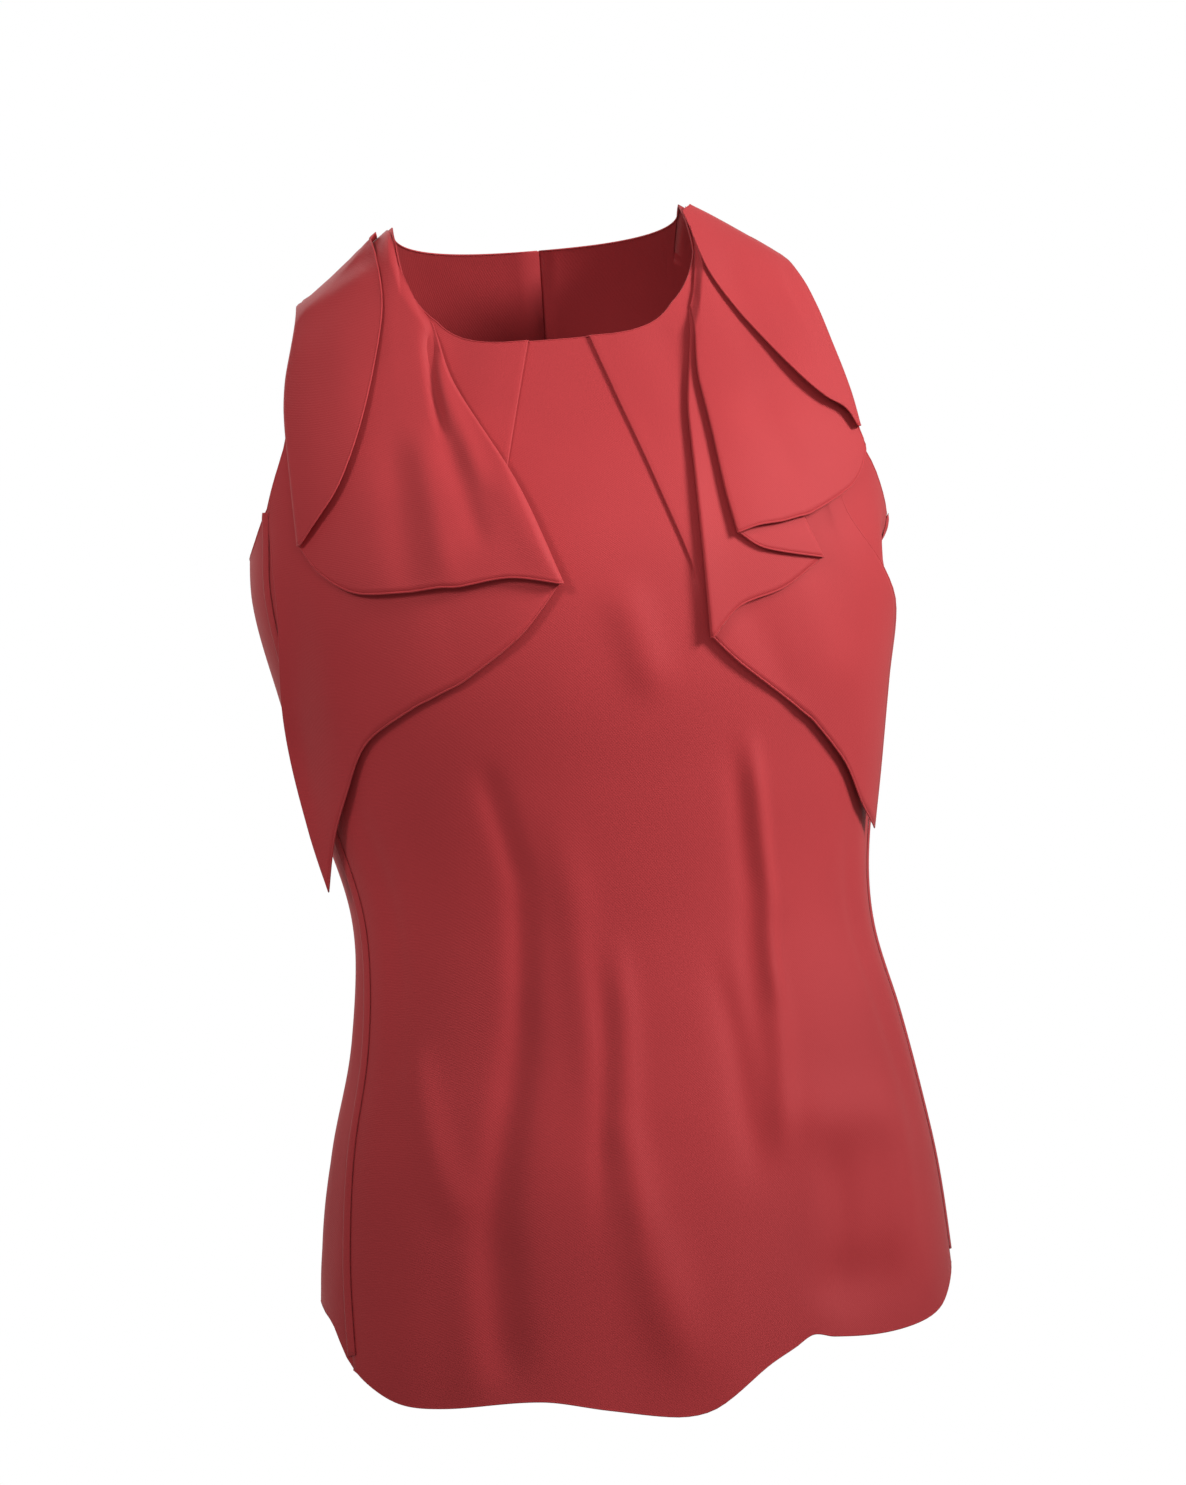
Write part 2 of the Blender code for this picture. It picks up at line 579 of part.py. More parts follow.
def make_loop():
    """A thread loop from the other side of the slit round the button."""
    reach = BUTTON_RADIUS + 0.4 * MM + LOOP_RADIUS
    out = WALL / 2 + 0.4 * MM + LOOP_RADIUS
    path = [(-4.0 * MM, 3.6 * MM)]
    for i in range(11):
        turn = math.radians(130 - 26 * i)
        path.append((BUTTON_SIDE + reach * math.cos(turn), BUTTON_DROP - reach * math.sin(turn)))
    path.append((-4.0 * MM, 10.4 * MM))
    curve = bpy.data.curves.new("nape_loop", "CURVE")
    curve.dimensions = "3D"
    curve.bevel_depth = LOOP_RADIUS
    curve.bevel_resolution = 2
    curve.use_fill_caps = True
    spline = curve.splines.new("POLY")
    spline.points.add(len(path) - 1)
    for point, (x, drop) in zip(spline.points, path):
        point.co = (*nape_place(x, drop, out), 1)
    return bpy.data.objects.new("nape_loop", curve)


def build():
    """Empty the scene, then build every sub-part in its place."""
    for old in list(bpy.data.objects):
        bpy.data.objects.remove(old, do_unlink=True)
    group = bpy.data.collections.new("ruffled_blouse")
    bpy.context.scene.collection.children.link(group)
    pieces = (
        (make_front(), CREPE, 0.8), (make_back(), CREPE, 0.8),
        (make_ruffle("wearer_right_ruffle", RUFFLE_RIGHT), CREPE, 0.8),
        (make_ruffle("wearer_left_ruffle", RUFFLE_LEFT), CREPE, 0.8),
        (make_button(), BUTTON_COLOUR, 0.4), (make_loop(), CREPE, 0.8),
    )
    for piece, colour, roughness in pieces:
        piece.data.materials.append(cloth_material(piece.name + "_cloth", colour, roughness))
        group.objects.link(piece)


build()
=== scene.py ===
"""Looks of a sleeveless crepe blouse with two cascade ruffles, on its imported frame.

Metres. The front faces -Y, the wearer's left is +X, +Z is up. Angles run round the body
from the centre front, positive towards the wearer's left.
"""

import math

import bmesh
import bpy
import numpy as np
from mathutils import Matrix, Vector


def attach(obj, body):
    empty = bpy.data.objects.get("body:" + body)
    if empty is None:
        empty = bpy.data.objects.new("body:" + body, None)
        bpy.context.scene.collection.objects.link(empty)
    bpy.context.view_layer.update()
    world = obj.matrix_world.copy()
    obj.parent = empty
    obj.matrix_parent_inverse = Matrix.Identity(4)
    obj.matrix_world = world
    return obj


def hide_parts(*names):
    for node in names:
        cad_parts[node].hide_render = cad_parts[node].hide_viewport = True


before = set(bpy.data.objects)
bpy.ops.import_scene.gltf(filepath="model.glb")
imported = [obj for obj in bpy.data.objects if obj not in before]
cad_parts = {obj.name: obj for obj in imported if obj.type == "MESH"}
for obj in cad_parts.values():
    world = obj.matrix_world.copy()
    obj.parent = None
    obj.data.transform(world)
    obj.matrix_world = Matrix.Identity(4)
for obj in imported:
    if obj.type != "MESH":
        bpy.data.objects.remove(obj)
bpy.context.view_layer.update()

MM = 0.001
CLOTH = 0.55 * MM  # thickness of the crepe
AMBIENT = 0.30  # radiance of the studio's walls

# Neck and shoulders, as on the solids but for the wearer's-left neck point.
NECK_HALF = 78 * MM
NECK_LEFT_IN = 5.5 * MM  # the wearer's-left neck point sits this much further in
NECK_LEFT_RUN = 26 * MM  # height over which the neck's edge comes back out
NECK_FRONT_DROP = 67 * MM
NECK_BACK_DROP = 16 * MM
NECK_POWER = 0.70  # roundness of the neck's edge
SHOULDER_HALF = 130 * MM
SHOULDER_DROP = 38 * MM
SHOULDER_ROUND = 75 * MM  # height over which the body closes to the shoulder line
CHEST_HEIGHT = -190 * MM  # where the upper and the lower part of a panel meet
SIDE_POWER = 0.85  # roundness of the body's sections
SIDE_LIMIT = 0.9995  # share of the half width that an x may reach
NORMAL_TURN = 2  # reach of a body normal round the body (degrees)
NORMAL_UP, NORMAL_DOWN = 1 * MM, 3 * MM  # and up and down it

# Sections of the body: height, half width, depth of its front, back and side, centre x (mm).
BODY = (
    (20, 148, 52, 46, 10, 0), (-35, 152, 54, 62, 10, 0), (-70, 156, 68, 74, 10, 0),
    (-100, 160, 86, 81, 10, 0), (-125, 163, 102, 85, 10, 0), (-150, 165, 114, 88, 11, 0),
    (-190, 167, 125, 90, 14, 0), (-240, 158, 127, 86, 18, 0.5),
    (-300, 146, 117, 74, 20, 2.5), (-350, 135.5, 109, 64, 20, 5),
    (-385, 135, 106, 61, 20, 6), (-430, 143, 107, 68, 18, 8), (-476, 153.5, 111, 78, 14, 6),
    (-510, 159.5, 113, 84, 12, 5), (-550, 164, 115, 88, 10, 3.5), (-640, 170, 119, 93, 10, 1.5),
)
# The hem: angle (degrees), height (mm).
HEM = (
    (-180, -598), (-140, -592), (-112, -574), (-92, -556), (-76, -566), (-67, -586),
    (-60, -598), (-50, -609.5), (-40, -613), (-20, -613), (-8, -620), (3, -626), (8, -626),
    (12, -622), (21, -604.5), (27, -596), (31, -590.5), (35.5, -592.5), (47, -593.5),
    (57, -590.5), (68.5, -583), (90, -562), (112, -575), (140, -592), (180, -598),
)
FOLDS_FULL = -610 * MM  # height at which the long folds have their full depth
# Long folds of the lower body: angle at the hem and at the top, height of the top (mm), half
# width (degrees), depth (mm, outwards is positive).
FOLDS = (
    (-40, -31, -330, 7, -1.5), (-3, 2, -380, 7, -1.5), (14, 14, -400, 6, 1.5),
    (29, 31, -270, 5, -1.0), (45, 45, -470, 8, -2.5), (62, 60, -380, 9, 2.0),
    (118, 118, -430, 9, -5), (149, 150, -400, 9, 5),
    (180, 180, -380, 9, -6), (-150, -150, -400, 9, 5), (-118, -118, -430, 9, -5),
)
# Armhole edges from the side seam upwards: angle (degrees), height (mm).
FRONT_ARM_RIGHT = ((-72, -142), (-67.5, -125), (-61.5, -107), (-58.4, -86), (-58.2, -60))
FRONT_ARM_LEFT = ((88, -170), (78, -148), (66, -124), (60, -100), (58.4, -68))
BACK_ARM_RIGHT = ((-72, -142), (-84, -162), (-97, -166), (-110, -145), (-119, -100))
BACK_ARM_LEFT = ((88, -170), (95, -174), (104, -162), (113, -135), (119.5, -95))
SEAM_BOW = -5.5  # how far the wearer's-right side seam bows back (degrees)
# How a panel's columns run: station, angle at the chest and at the hem (degrees), how late a
# column bends to its upper edge, how close its rows get there.
FRONT_GUIDES = (
    (0, -72, -64.5, 1, 1), (0.8, -51, -46, 3, 1.1), (1, -46, -42, 5, 1.5),
    (2, -37, -35, 5, 1.5), (2.935, -16, -15, 1.2, 1.2), (3, 1, 1, 1, 1.2),
    (3.0724, 20.1, 20.6, 1.0, 1.2), (4, 38, 38, 5, 1.5), (5, 47, 47, 5, 1.5),
    (5.2, 53, 54, 3, 1.1), (6, 88, 88, 1, 1),
)
BACK_GUIDES = (
    (0, -72, -64.5, 1, 1), (0.8, -123, -118, 3, 1.1), (1, -136, -130, 3, 1.5),
    (2, -156, -153, 2, 1.5), (3, -180, -180, 1, 1.2), (4, -204, -207, 2, 1.5),
    (5, -224, -230, 3, 1.5), (5.2, -237, -240, 3, 1.1), (6, -272, -272, 1, 1),
)

DEGREE_ARC = 2.6  # cloth to a degree round the body (mm)
CREASE_FADE = 0.25  # share of a crease's length over which its ends fade
# Soft creases, each a line on the body: angle and height of both ends (degrees, mm), half
# width and depth (mm, outwards is positive).
CREASES = (
    (-23.5, -290, -21, -345, 8, -2.1), (-21, -345, -24.5, -425, 9, -2.9),
    (-24.5, -425, -28.5, -520, 11, -3.6), (-28.5, -520, -26.5, -600, 13, -4.4),
    (-10, -330, -9, -460, 11, 1.8), (-6.5, -395, -7.5, -520, 5, -1.4),
    (-1, -390, -2.5, -475, 6.5, 2.6), (-2.5, -475, 0, -530, 8, 2.9),
    (0, -530, 7, -600, 12, 3.1), (-2, -500, 3, -580, 22, 2.9),
    (20.5, -404, 22.3, -500, 9, -2.5), (27.5, -290, 30, -360, 7, -1.4),
    (30, -360, 26, -430, 7, -1.3), (32, -290, 35.5, -360, 6.2, 3.9),
    (35.5, -360, 32.5, -416, 6.2, 3.9), (32.5, -416, 28.5, -490, 8, 3.4),
    (41, -500, 38.5, -570, 12, -2.9), (59.5, -490, 54, -575, 13, 2.6),
    (32, -478, 62, -482, 17, 3.4), (33, -566, 57, -562, 16, -3.6),
    (-52, -430, -44, -478, 12, 2.5), (-44, -478, -36, -514, 12, 2.2),
    (6.8, -200, 11.5, -250, 10, 3), (-60, -300, -58, -420, 12, -1.8),
    (66, -340, 70, -470, 14, -2.4), (76, -250, 80, -330, 12, -1.6),
    (120, -300, 112, -520, 14, -3.2), (134, -250, 132, -420, 12, 2.2),
    (146, -330, 142, -560, 13, -2.8), (160, -280, 163, -540, 12, 2.4),
    (174, -350, 171, -590, 13, -3.0), (-171, -260, -173, -560, 12, 2.2),
    (-160, -340, -158, -580, 13, -3.0), (-146, -280, -147, -520, 12, 2.4),
    (-130, -330, -134, -560, 14, -3.4), (-112, -260, -114, -430, 12, 2.0),
    (-98, -300, -96, -500, 13, -2.4), (-84, -380, -86, -540, 12, 2.0),
    (78, -184, 98, -198, 12, -8.0), (104, -200, 118, -262, 10, -1.8),
    (-100, -186, -116, -260, 10, -1.8), (150, -110, 128, -170, 12, -1.4),
    (-150, -105, -128, -168, 12, -1.4),
    (170, -350, 128, -372, 12, -1.6), (-168, -356, -126, -376, 12, -1.6),
)

PLEAT_DEPTH = 9 * MM  # width of the layer folded under
PLEAT_FLAT = 9 * MM  # half of the width that its cloth takes once it is open
PLEAT_PITCH = 0.85 * MM  # distance between its layers
PLEAT_TURN = 6  # steps round each of its two turns
PLEAT_LAST = 2 * PLEAT_TURN + 1  # step past the second turn
PLEAT_EDGE = 3 * PLEAT_TURN // 2  # step on the fold that shows
PLEAT_REACH, PLEAT_PAST = 12.5 * MM, 2 * MM  # least width of its top layer, past the fold
PLEAT_ARM = 160 * MM  # radius that turns a sideways shift into an angle
STRIP_FALL = 0.30  # stations over which the cloth beside a pleat sinks back
# Pleats: side, station, height down to which it is full, height where it is gone (mm).
PLEATS = ((-1, 2.935, -108, -157), (1, 3.0724, -140, -240))
SLIT_LENGTH = 90 * MM
SLIT_LAP = 0.45 * MM  # how far each side of the nape slit reaches past its middle
SLIT_STEP = 0.4 * MM  # and lies above or below it

# Columns to each stretch of a panel.
ARM_COLUMNS, SHOULDER_COLUMNS, NECK_COLUMNS, BACK_NECK_COLUMNS = 20, 12, 15, 22
NECK_END = 2.5  # station where the strip beside a pleat begins
STRIP_COLUMNS, LAYER_COLUMNS, CENTRE_COLUMNS = 14, 5, 10
UPPER_ROWS, LOWER_ROWS = 60, 92
UPPER_LENGTH, LOWER_LENGTH = 130, 420  # lengths that those rows cover (mm)
EDGE_ROWS = (0.0, 0.9, 1.8, 3.2)  # distances of the first rows from an edge (mm)
HEM_LEVEL = -600 * MM  # where a front column's place on the hem is read
FADE_ROWS = 6  # rows over which the creases fade in from an edge
LAP_ROWS = 8  # rows over which the lap of the side seams begins
PLEAT_RISE = (1, 1, 0.5)  # a pleat's layers rise more level than the body's normals

# Ruffle lines from root to hem, in order across the cloth: x, height, stand-off from the
# bodice (mm). A turn starts with its side and its half width at the root and at the hem.
RUFFLE_RIGHT = (
    ((-86.5, -0.6, 6), (-84.5, -13, 6.4)),
    ((-97, -8.3, 6), (-89, -22, 6.8), (-84, -41, 8.2)),
    ((-105, -14.2, 6), (-97, -42, 8.2), (-91.5, -73, 10.5)),
    ((-113, -20, 6), (-108, -60, 9.2), (-102.5, -106, 13.0)),
    ((-120, -24.8, 6.4), (-119, -78, 9.5), (-115, -133, 14.0)),
    ((-126, -29.1, 6.4), (-130, -88, 9.5), (-128, -150.5, 14.0)),
    ("turn", -1, 1.3, 2.2, (-131, -34, 5.1), (-134.5, -61, 5.9), (-140, -92, 7.2),
     (-140.5, -128, 9.0), (-140, -163, 11.0)),
    ((-126, -31.5, 3.8), (-131, -105, 6.0), (-129, -178, 9.0)),
    ((-106, -16.9, 3.8), (-114, -100, 6.0), (-112, -190, 9.5)),
    ((-81, 1.8, 4.3), (-86, -95, 7.0), (-88, -192, 10.5)),
    ((-79.8, -4, 4.2), (-83, -98, 7.3), (-79, -191.7, 10.8)),
    ((-78.8, -11, 4.0), (-80, -101, 7.6), (-70, -191, 11.1)),
    ((-78, -20, 3.8), (-76, -105, 8.0), (-60, -191.5, 11.5)),
    ((-71, -40, 3.8), (-55, -112, 9.4), (-34, -189, 12.0)),
    ("turn", 1, 0.9, 3.6, (-63.5, -53, 2.9), (-56.5, -78, 4.9), (-43.5, -104, 7.3),
     (-25, -142, 8.8), (-7, -194, 9.2)),
    ((-71, -40, 2.0), (-56, -128, 5.4), (-31, -219, 6.4)),
    ((-78, -20, 2.0), (-77, -130, 3.4), (-62, -240.5, 5.0)),
    ((-78.8, -11, 2.1), (-80.5, -128.5, 3.2), (-70, -244, 5.0)),
    ((-79.8, -4, 2.3), (-84.5, -126.7, 3.1), (-79, -248, 5.0)),
    ((-81, 0.1, 2.5), (-88, -125, 3.0), (-88, -252, 5.0)),
    ((-106, -18.6, 2), (-112, -140, 3.0), (-112, -268, 5.5)),
    ((-121, -29.6, 2), (-128, -150, 3.0), (-124, -294, 6.0)),
    ((-127, -33.9, 2), (-134, -92, 2.4), (-146, -150, 2.6), (-147, -210, 3.0), (-144, -265, 4.0),
     (-132, -318, 9.5)),
    ((-131, -36.9, 2), (-137.5, -95, 2.0), (-153, -140, 2.0), (-154, -200, 4.5),
     (-155, -252, 9.0), (-147.5, -304, 14.0), (-137, -343, 18.0)),
)
RUFFLE_LEFT = (
    ((78, 0.5, 6.8), (82, -13, 8.0)),
    ((88, -4, 6.8), (88, -20, 8.2), (88.5, -36, 9.6)),
    ((97, -9, 6.8), (99, -34, 8.8), (100, -57, 11.0)),
    ((105, -14, 6.8), (110, -46, 9.6), (112, -74, 13.0)),
    ((113, -19.3, 6.8), (120, -57, 10.6), (125, -91, 15.0)),
    ((118, -22.9, 6.8), (131, -64, 11.6), (139, -107, 16.0)),
    ((121, -25.2, 6.6), (135, -64, 11.2), (149, -114.5, 16.2)),
    ("turn", 1, 1.4, 2.6, (123.5, -28.2, 5.4), (138, -50, 7.8), (146.5, -80, 10.2),
     (152.5, -105, 12.4), (155.5, -124, 13.6)),
    ((122, -28, 4.2), (138, -72, 7.2), (157, -137, 11.4)),
    ((117, -24.8, 4), (137, -88, 7.5), (150.5, -152, 11.4)),
    ((97, -10, 4), (124, -86, 7.5), (139, -161, 11.5)),
    ((76, 2, 4.5), (106, -85, 8.0), (126, -168, 12.0)),
    ((75.6, -4, 5.0), (103, -89, 8.6), (121, -169, 12.3)),
    ((76.2, -11, 5.5), (99.5, -93, 9.2), (116, -170, 12.5)),
    ((77.4, -22, 6.0), (96, -98, 9.8), (111, -171, 12.8)),
    ((74, -45, 7.3), (87, -105, 10.6), (99, -172, 13.4)),
    ("turn", -1, 0.9, 1.4, (71, -54, 6.4), (75.6, -83, 8.4), (79.8, -115, 9.7), (84, -152, 10.8),
     (88, -175, 11.6)),
    ((73.5, -47, 5.5), (83, -105, 7.6), (101, -184, 9.8)),
    ("turn", 1, 0.9, 1.3, (75, -42, 4.6), (92, -92, 6.4), (112, -142, 7.4), (131, -191, 8.2)),
    ((73.5, -47, 3.7), (88, -118, 5.2), (110, -205, 6.6)),
    ((72, -52, 3.7), (80, -128, 5.4), (86, -213, 7.2)),
    ("turn", -1, 0.9, 2.2, (70, -57, 2.8), (69.7, -98, 4.8), (69.7, -154, 7.2), (70, -228, 7.4)),
    ((73, -48, 1.9), (77, -140, 3.7), (84, -242, 5.4)),
    ((77.5, -30, 1.9), (92, -142, 2.8), (104, -260, 4.8)),
    ((76.4, -13, 2.0), (98, -141, 2.8), (110, -265.5, 4.9)),
    ((75.8, -5, 2.2), (104, -140.5, 2.8), (115, -270.5, 5.0)),
    ((76, 0.1, 2.5), (110, -140, 2.8), (120, -275.5, 5.0)),
    ((104, -17.2, 1.9), (128, -140, 3.0), (134, -297, 5.6)),
    ((121, -29.7, 1.9), (131, -140, 4.2), (147, -215, 6.2), (141.5, -320, 6.0)),
    ((128, -34.8, 1.9), (136, -105, 2.6), (143.5, -165, 5.0), (160, -196, 7.4), (167, -218, 8.6),
     (160.5, -256, 7.2), (153.5, -300, 6.2), (147.5, -333, 6.5)),
)
# The hanging ruffles lie further to the wearer's right (negative) than these lines, in their
# places as the camera sees them: x, shift (mm).
SEEN_SHIFT = ((-160, -2), (-147, -2.5), (-140, -3.8), (-130, -5), (-110, -5.2), (-85, -4.6),
              (-60, -4), (-7, -3.5), (70, -6.8), (88, -6.2), (110, -5.5), (130, -4.5),
              (145, -2.5), (160, -1.5))
SEEN_END = 0.35  # share of a ruffle's length over which that shift is reached
RUFFLE_ROWS = 64
ROOT_DENSITY = 1.25  # power that draws a ruffle's rows towards its root
WIDE_STEP = 2.6  # greatest distance between a ruffle's columns at its hem (mm)
TURN_ANGLES = (75, 50, 25, 0, -25, -50, -75)  # columns round a turn (degrees)
CURVE_RISE = 3  # how soon a ruffle's layers curve between its lines
HANDLE_LIMIT = 1.1  # longest handle of such a curve, in spans
ROOT_STAND = 0.25  # share of the solids' stand-off kept in the sewn root
ROOT_END = 0.10  # share of the length over which the hanging stand-off is reached
HANG_STAND = 0.75  # share of the solids' stand-off that the hanging cloth keeps
STAND_ROUNDS, STAND_STEP = 6, 0.8  # how a ruffle's points are brought to their places
SHOULDER_CLEAR = 0.2 * MM  # how far below the shoulder line their feet stay

RUFFLE_FADE = 0.2  # share of a fold's length over which its ends fade
# Soft folds of the ruffles: layer, x and height of both ends, half width, depth outwards (mm).
# The layer counts the turns from the upper edge.
RIGHT_FOLDS = (
    (0, -130, -33, -83, -14, 5, -1.4), (0, -133, -41, -86, -23, 6, 1.0),
    (1, -65, -58, -60.5, -109, 2.4, -3.2), (1, -61, -78, -44, -136, 5, 1.3),
    (1, -59, -112, -47, -169, 6, -1.5), (1, -72, -113, -66, -184, 8, 1.4),
    (1, -86, -117, -84, -195, 9, -1.2), (1, -34.5, -137, -15, -185, 8, 1.0),
    (2, -120, -192, -133, -254, 12, 1.2), (2, -143, -185, -141, -274, 10, -1.2),
    (2, -92, -195, -110, -245, 11, -0.9),
)
LEFT_FOLDS = (
    (0, 110, -23, 143, -73, 9, 0.9), (0, 96, -34, 120, -92, 8, -0.9),
    (1, 103, -106, 121, -149, 9, -0.9), (4, 87, -209, 111, -263, 10, -1.2),
    (4, 112, -190, 138, -260, 12, 1.2),
)

ROLL_WIDE, ROLL_THICK = 1.15 * MM, 0.85 * MM  # rolled hem of every free edge
ROLL_INSET = 0.4 * ROLL_WIDE  # from the edge to the middle of the roll
ROLL_START = 3  # first row of a ruffle that has a roll
ROLL_STEP = 0.8 * MM  # least distance between a roll's points
SOFTEN_ROUNDS, SOFTEN_SHARE = 3, 0.7  # how a roll's normals are evened out
SHOULDER_SEAM = (2.2 * MM, 1.2 * MM)  # width and height of the shoulder seams
SEAM_WIDE, SEAM_THICK = 6 * MM, 0.6 * MM  # pressed allowance inside the side seams
SEAM_ROWS = slice(4, -4)  # rows that it runs along
SEAM_INSET = 4  # columns to the one whose normals turn it
SEAM_LAP, SEAM_LIFT = 0.4, 0.3 * MM  # the front laps the back by this (degrees, m)

CREPE_LIGHT, CREPE_DARK = (0.44, 0.029, 0.034), (0.39, 0.024, 0.029)
BUTTON_DARK, BUTTON_LIGHT = (0.42, 0.035, 0.045), (0.62, 0.08, 0.09)

FLOOR_HALF, FLOOR_HEIGHT = 6, -1.42
GLOW_WAY = (0.05, 1, 0)  # direction of the bright patch of wall
GLOW_FROM, GLOW_FULL = 0.90, 0.985  # how closely a ray has to point there
# Name, kind, place, target (m), size (m), power (W), cone (degrees, spots alone).
LIGHTS = (
    ("key", "SPOT", (1.85, -0.95, 0.75), (0.08, -0.1, -0.13), 0.46, 440, 27),
    ("fill", "SPOT", (-1.3, -1.4, 0.8), (-0.10, -0.1, -0.11), 0.42, 165, 20),
    ("front", "AREA", (0.2, -2.2, 0.6), (0, -0.1, -0.2), 0.9, 5, 0),
    ("back", "AREA", (-0.8, 1.6, 0.9), (0, 0, -0.25), 0.9, 14, 0),
)
CAMERA_YAW, CAMERA_ROLL, CAMERA_DISTANCE = 3.0, 4.7, 7.0
CAMERA_TARGET = (2.4 * MM, -45 * MM, -276.6 * MM)
SENSOR, FRAME_WIDTH = 36, 1186  # mm, pixels
PIXEL = 0.52 * MM  # width of a pixel at the target


# ---- curves and tables

def curve(start, end, leave, arrive, t):
    """The smooth curve from start to end with these rises at its ends, at share t."""
    return (start * (1 + 2 * t) * (1 - t) ** 2 + end * t ** 2 * (3 - 2 * t)
            + leave * t * (1 - t) ** 2 - arrive * t ** 2 * (1 - t))


def slope(points, index, value):
    """Rise of a table's value at one of its rows, from the rows beside it."""
    low, high = max(index - 1, 0), min(index + 1, len(points) - 1)
    return (points[high][value] - points[low][value]) / (points[high][0] - points[low][0])


def read_smooth(points, at, value):
    """A smooth value between the rows of a table whose first column rises or falls."""
    sign = 1 if points[-1][0] > points[0][0] else -1
    if sign * (at - points[0][0]) <= 0:
        return points[0][value]
    if sign * (at - points[-1][0]) >= 0:
        return points[-1][value]
    index = max(i for i in range(len(points) - 1) if sign * (at - points[i][0]) >= 0)
    span = points[index + 1][0] - points[index][0]
    return curve(points[index][value], points[index + 1][value],
                 slope(points, index, value) * span, slope(points, index + 1, value) * span,
                 (at - points[index][0]) / span)


def read_straight(points, at, value):
    """A value between the rows of a table, without smoothing."""
    for left, right in zip(points, points[1:]):
        if at <= right[0]:
            share = min(max((at - left[0]) / (right[0] - left[0]), 0), 1)
            return left[value] + share * (right[value] - left[value])
    return points[-1][value]


def ease(share):
    """A soft step from 0 at share 0 to 1 at share 1."""
    share = np.clip(share, 0, 1)
    return share * share * (3 - 2 * share)


class BodyTable:
    """The body's sections, read smoothly for whole arrays of heights."""

    def __init__(self, rows):
        table = np.array(rows, float)[::-1]
        self.heights, self.values = table[:, 0], table[:, 1:]
        count = len(table)
        low = np.maximum(np.arange(count) - 1, 0)
        high = np.minimum(np.arange(count) + 1, count - 1)
        self.slopes = ((self.values[high] - self.values[low])
                       / (self.heights[high] - self.heights[low])[:, None])

    def read(self, height):
        """Half width, front, back, side and centre x at each height."""
        at = np.clip(np.asarray(height) / MM, self.heights[0], self.heights[-1])
        i = np.clip(np.searchsorted(self.heights, at, side="right") - 1,
                    0, len(self.heights) - 2)
        span = self.heights[i + 1] - self.heights[i]
        t = ((at - self.heights[i]) / span)[..., None]
        span = span[..., None]
        return MM * curve(self.values[i], self.values[i + 1], self.slopes[i] * span,
                          self.slopes[i + 1] * span, t)


SECTIONS = BodyTable(BODY)


# ---- form of the body

def shoulder_line(x):
    """Height of the shoulder seams at x."""
    inner = np.where(np.asarray(x) > 0, NECK_HALF - NECK_LEFT_IN, NECK_HALF)
    return -SHOULDER_DROP * (np.abs(x) - inner) / (SHOULDER_HALF - inner)


def fold_depth(angle, height):
    """How far the long folds push the lower body out."""
    total = np.zeros(np.shape(angle))
    for hem_angle, top_angle, top, half_width, depth in FOLDS:
        share = ease((top * MM - height) / (top * MM - FOLDS_FULL))
        away = (angle - top_angle - (hem_angle - top_angle) * share + 180) % 360 - 180
        total += depth * MM * share * np.exp(-(away / half_width) ** 2)
    return total


def crease_depth(angle, height):
    """The soft creases laid over the folds, each fading past its ends."""
    total = np.zeros(np.shape(angle))
    for a_1, h_1, a_2, h_2, half_width, depth in CREASES:
        turn = (a_2 - a_1 + 180) % 360 - 180
        run = np.array([turn * DEGREE_ARC, h_2 - h_1])
        length = np.hypot(*run)
        across = ((angle - a_1 + 180) % 360 - 180) * DEGREE_ARC
        up = height / MM - h_1
        share = (across * run[0] + up * run[1]) / length ** 2
        away = (across * run[1] - up * run[0]) / length
        fade = (ease((share + CREASE_FADE) / (2 * CREASE_FADE))
                * ease((1 + CREASE_FADE - share) / (2 * CREASE_FADE)))
        total += depth * MM * fade * np.exp(-(away / half_width) ** 2)
    return total


def body_points(angle, height):
    """Points of the body's surface for arrays of angles (degrees) and heights."""
    angle, height = np.asarray(angle, float), np.asarray(height, float)
    half, front, back, side, centre = np.moveaxis(SECTIONS.read(height), -1, 0)
    turn = np.radians(angle)
    out = fold_depth(angle, height)
    x = centre + half * np.sin(turn)
    squared = np.abs(np.cos(turn)) ** SIDE_POWER
    deep = -side + np.where(np.cos(turn) > 0, side - front, side + back) * squared
    reach = np.clip((shoulder_line(x) - height) / SHOULDER_ROUND, 0, 1)
    deep = deep * np.sqrt(1 - (1 - reach) ** 2)
    return np.stack((x + out * np.sin(turn), deep - out * np.cos(turn), height), -1)


def unit(vectors):
    return vectors / np.maximum(np.linalg.norm(vectors, axis=-1, keepdims=True), 1e-12)


def body_normals(angle, height):
    """Outward normals of the body's surface."""
    across = body_points(angle + NORMAL_TURN, height) - body_points(angle - NORMAL_TURN, height)
    up = body_points(angle, height + NORMAL_UP) - body_points(angle, height - NORMAL_DOWN)
    return unit(np.cross(across, up))


def body_angle(x, height):
    """Angle of the front's surface at x."""
    sections = SECTIONS.read(height)
    share = (x - sections[..., 4]) / sections[..., 0]
    return np.degrees(np.arcsin(np.clip(share, -SIDE_LIMIT, SIDE_LIMIT)))


# ---- panels

def arm_edge(table, share):
    """Angle and height along an armhole, from the side seam to the shoulder tip."""
    tip_angle = float(body_angle(SHOULDER_HALF, np.array(-SHOULDER_DROP)))
    sign = 1 if table[0][0] > 0 else -1
    if abs(table[-1][0]) > 90:
        tip_angle = 180 - tip_angle
    tip = (sign * tip_angle, -SHOULDER_DROP / MM)
    rows = [(row / len(table),) + point for row, point in enumerate(table + (tip,))]
    return read_smooth(rows, share, 1), read_smooth(rows, share, 2) * MM


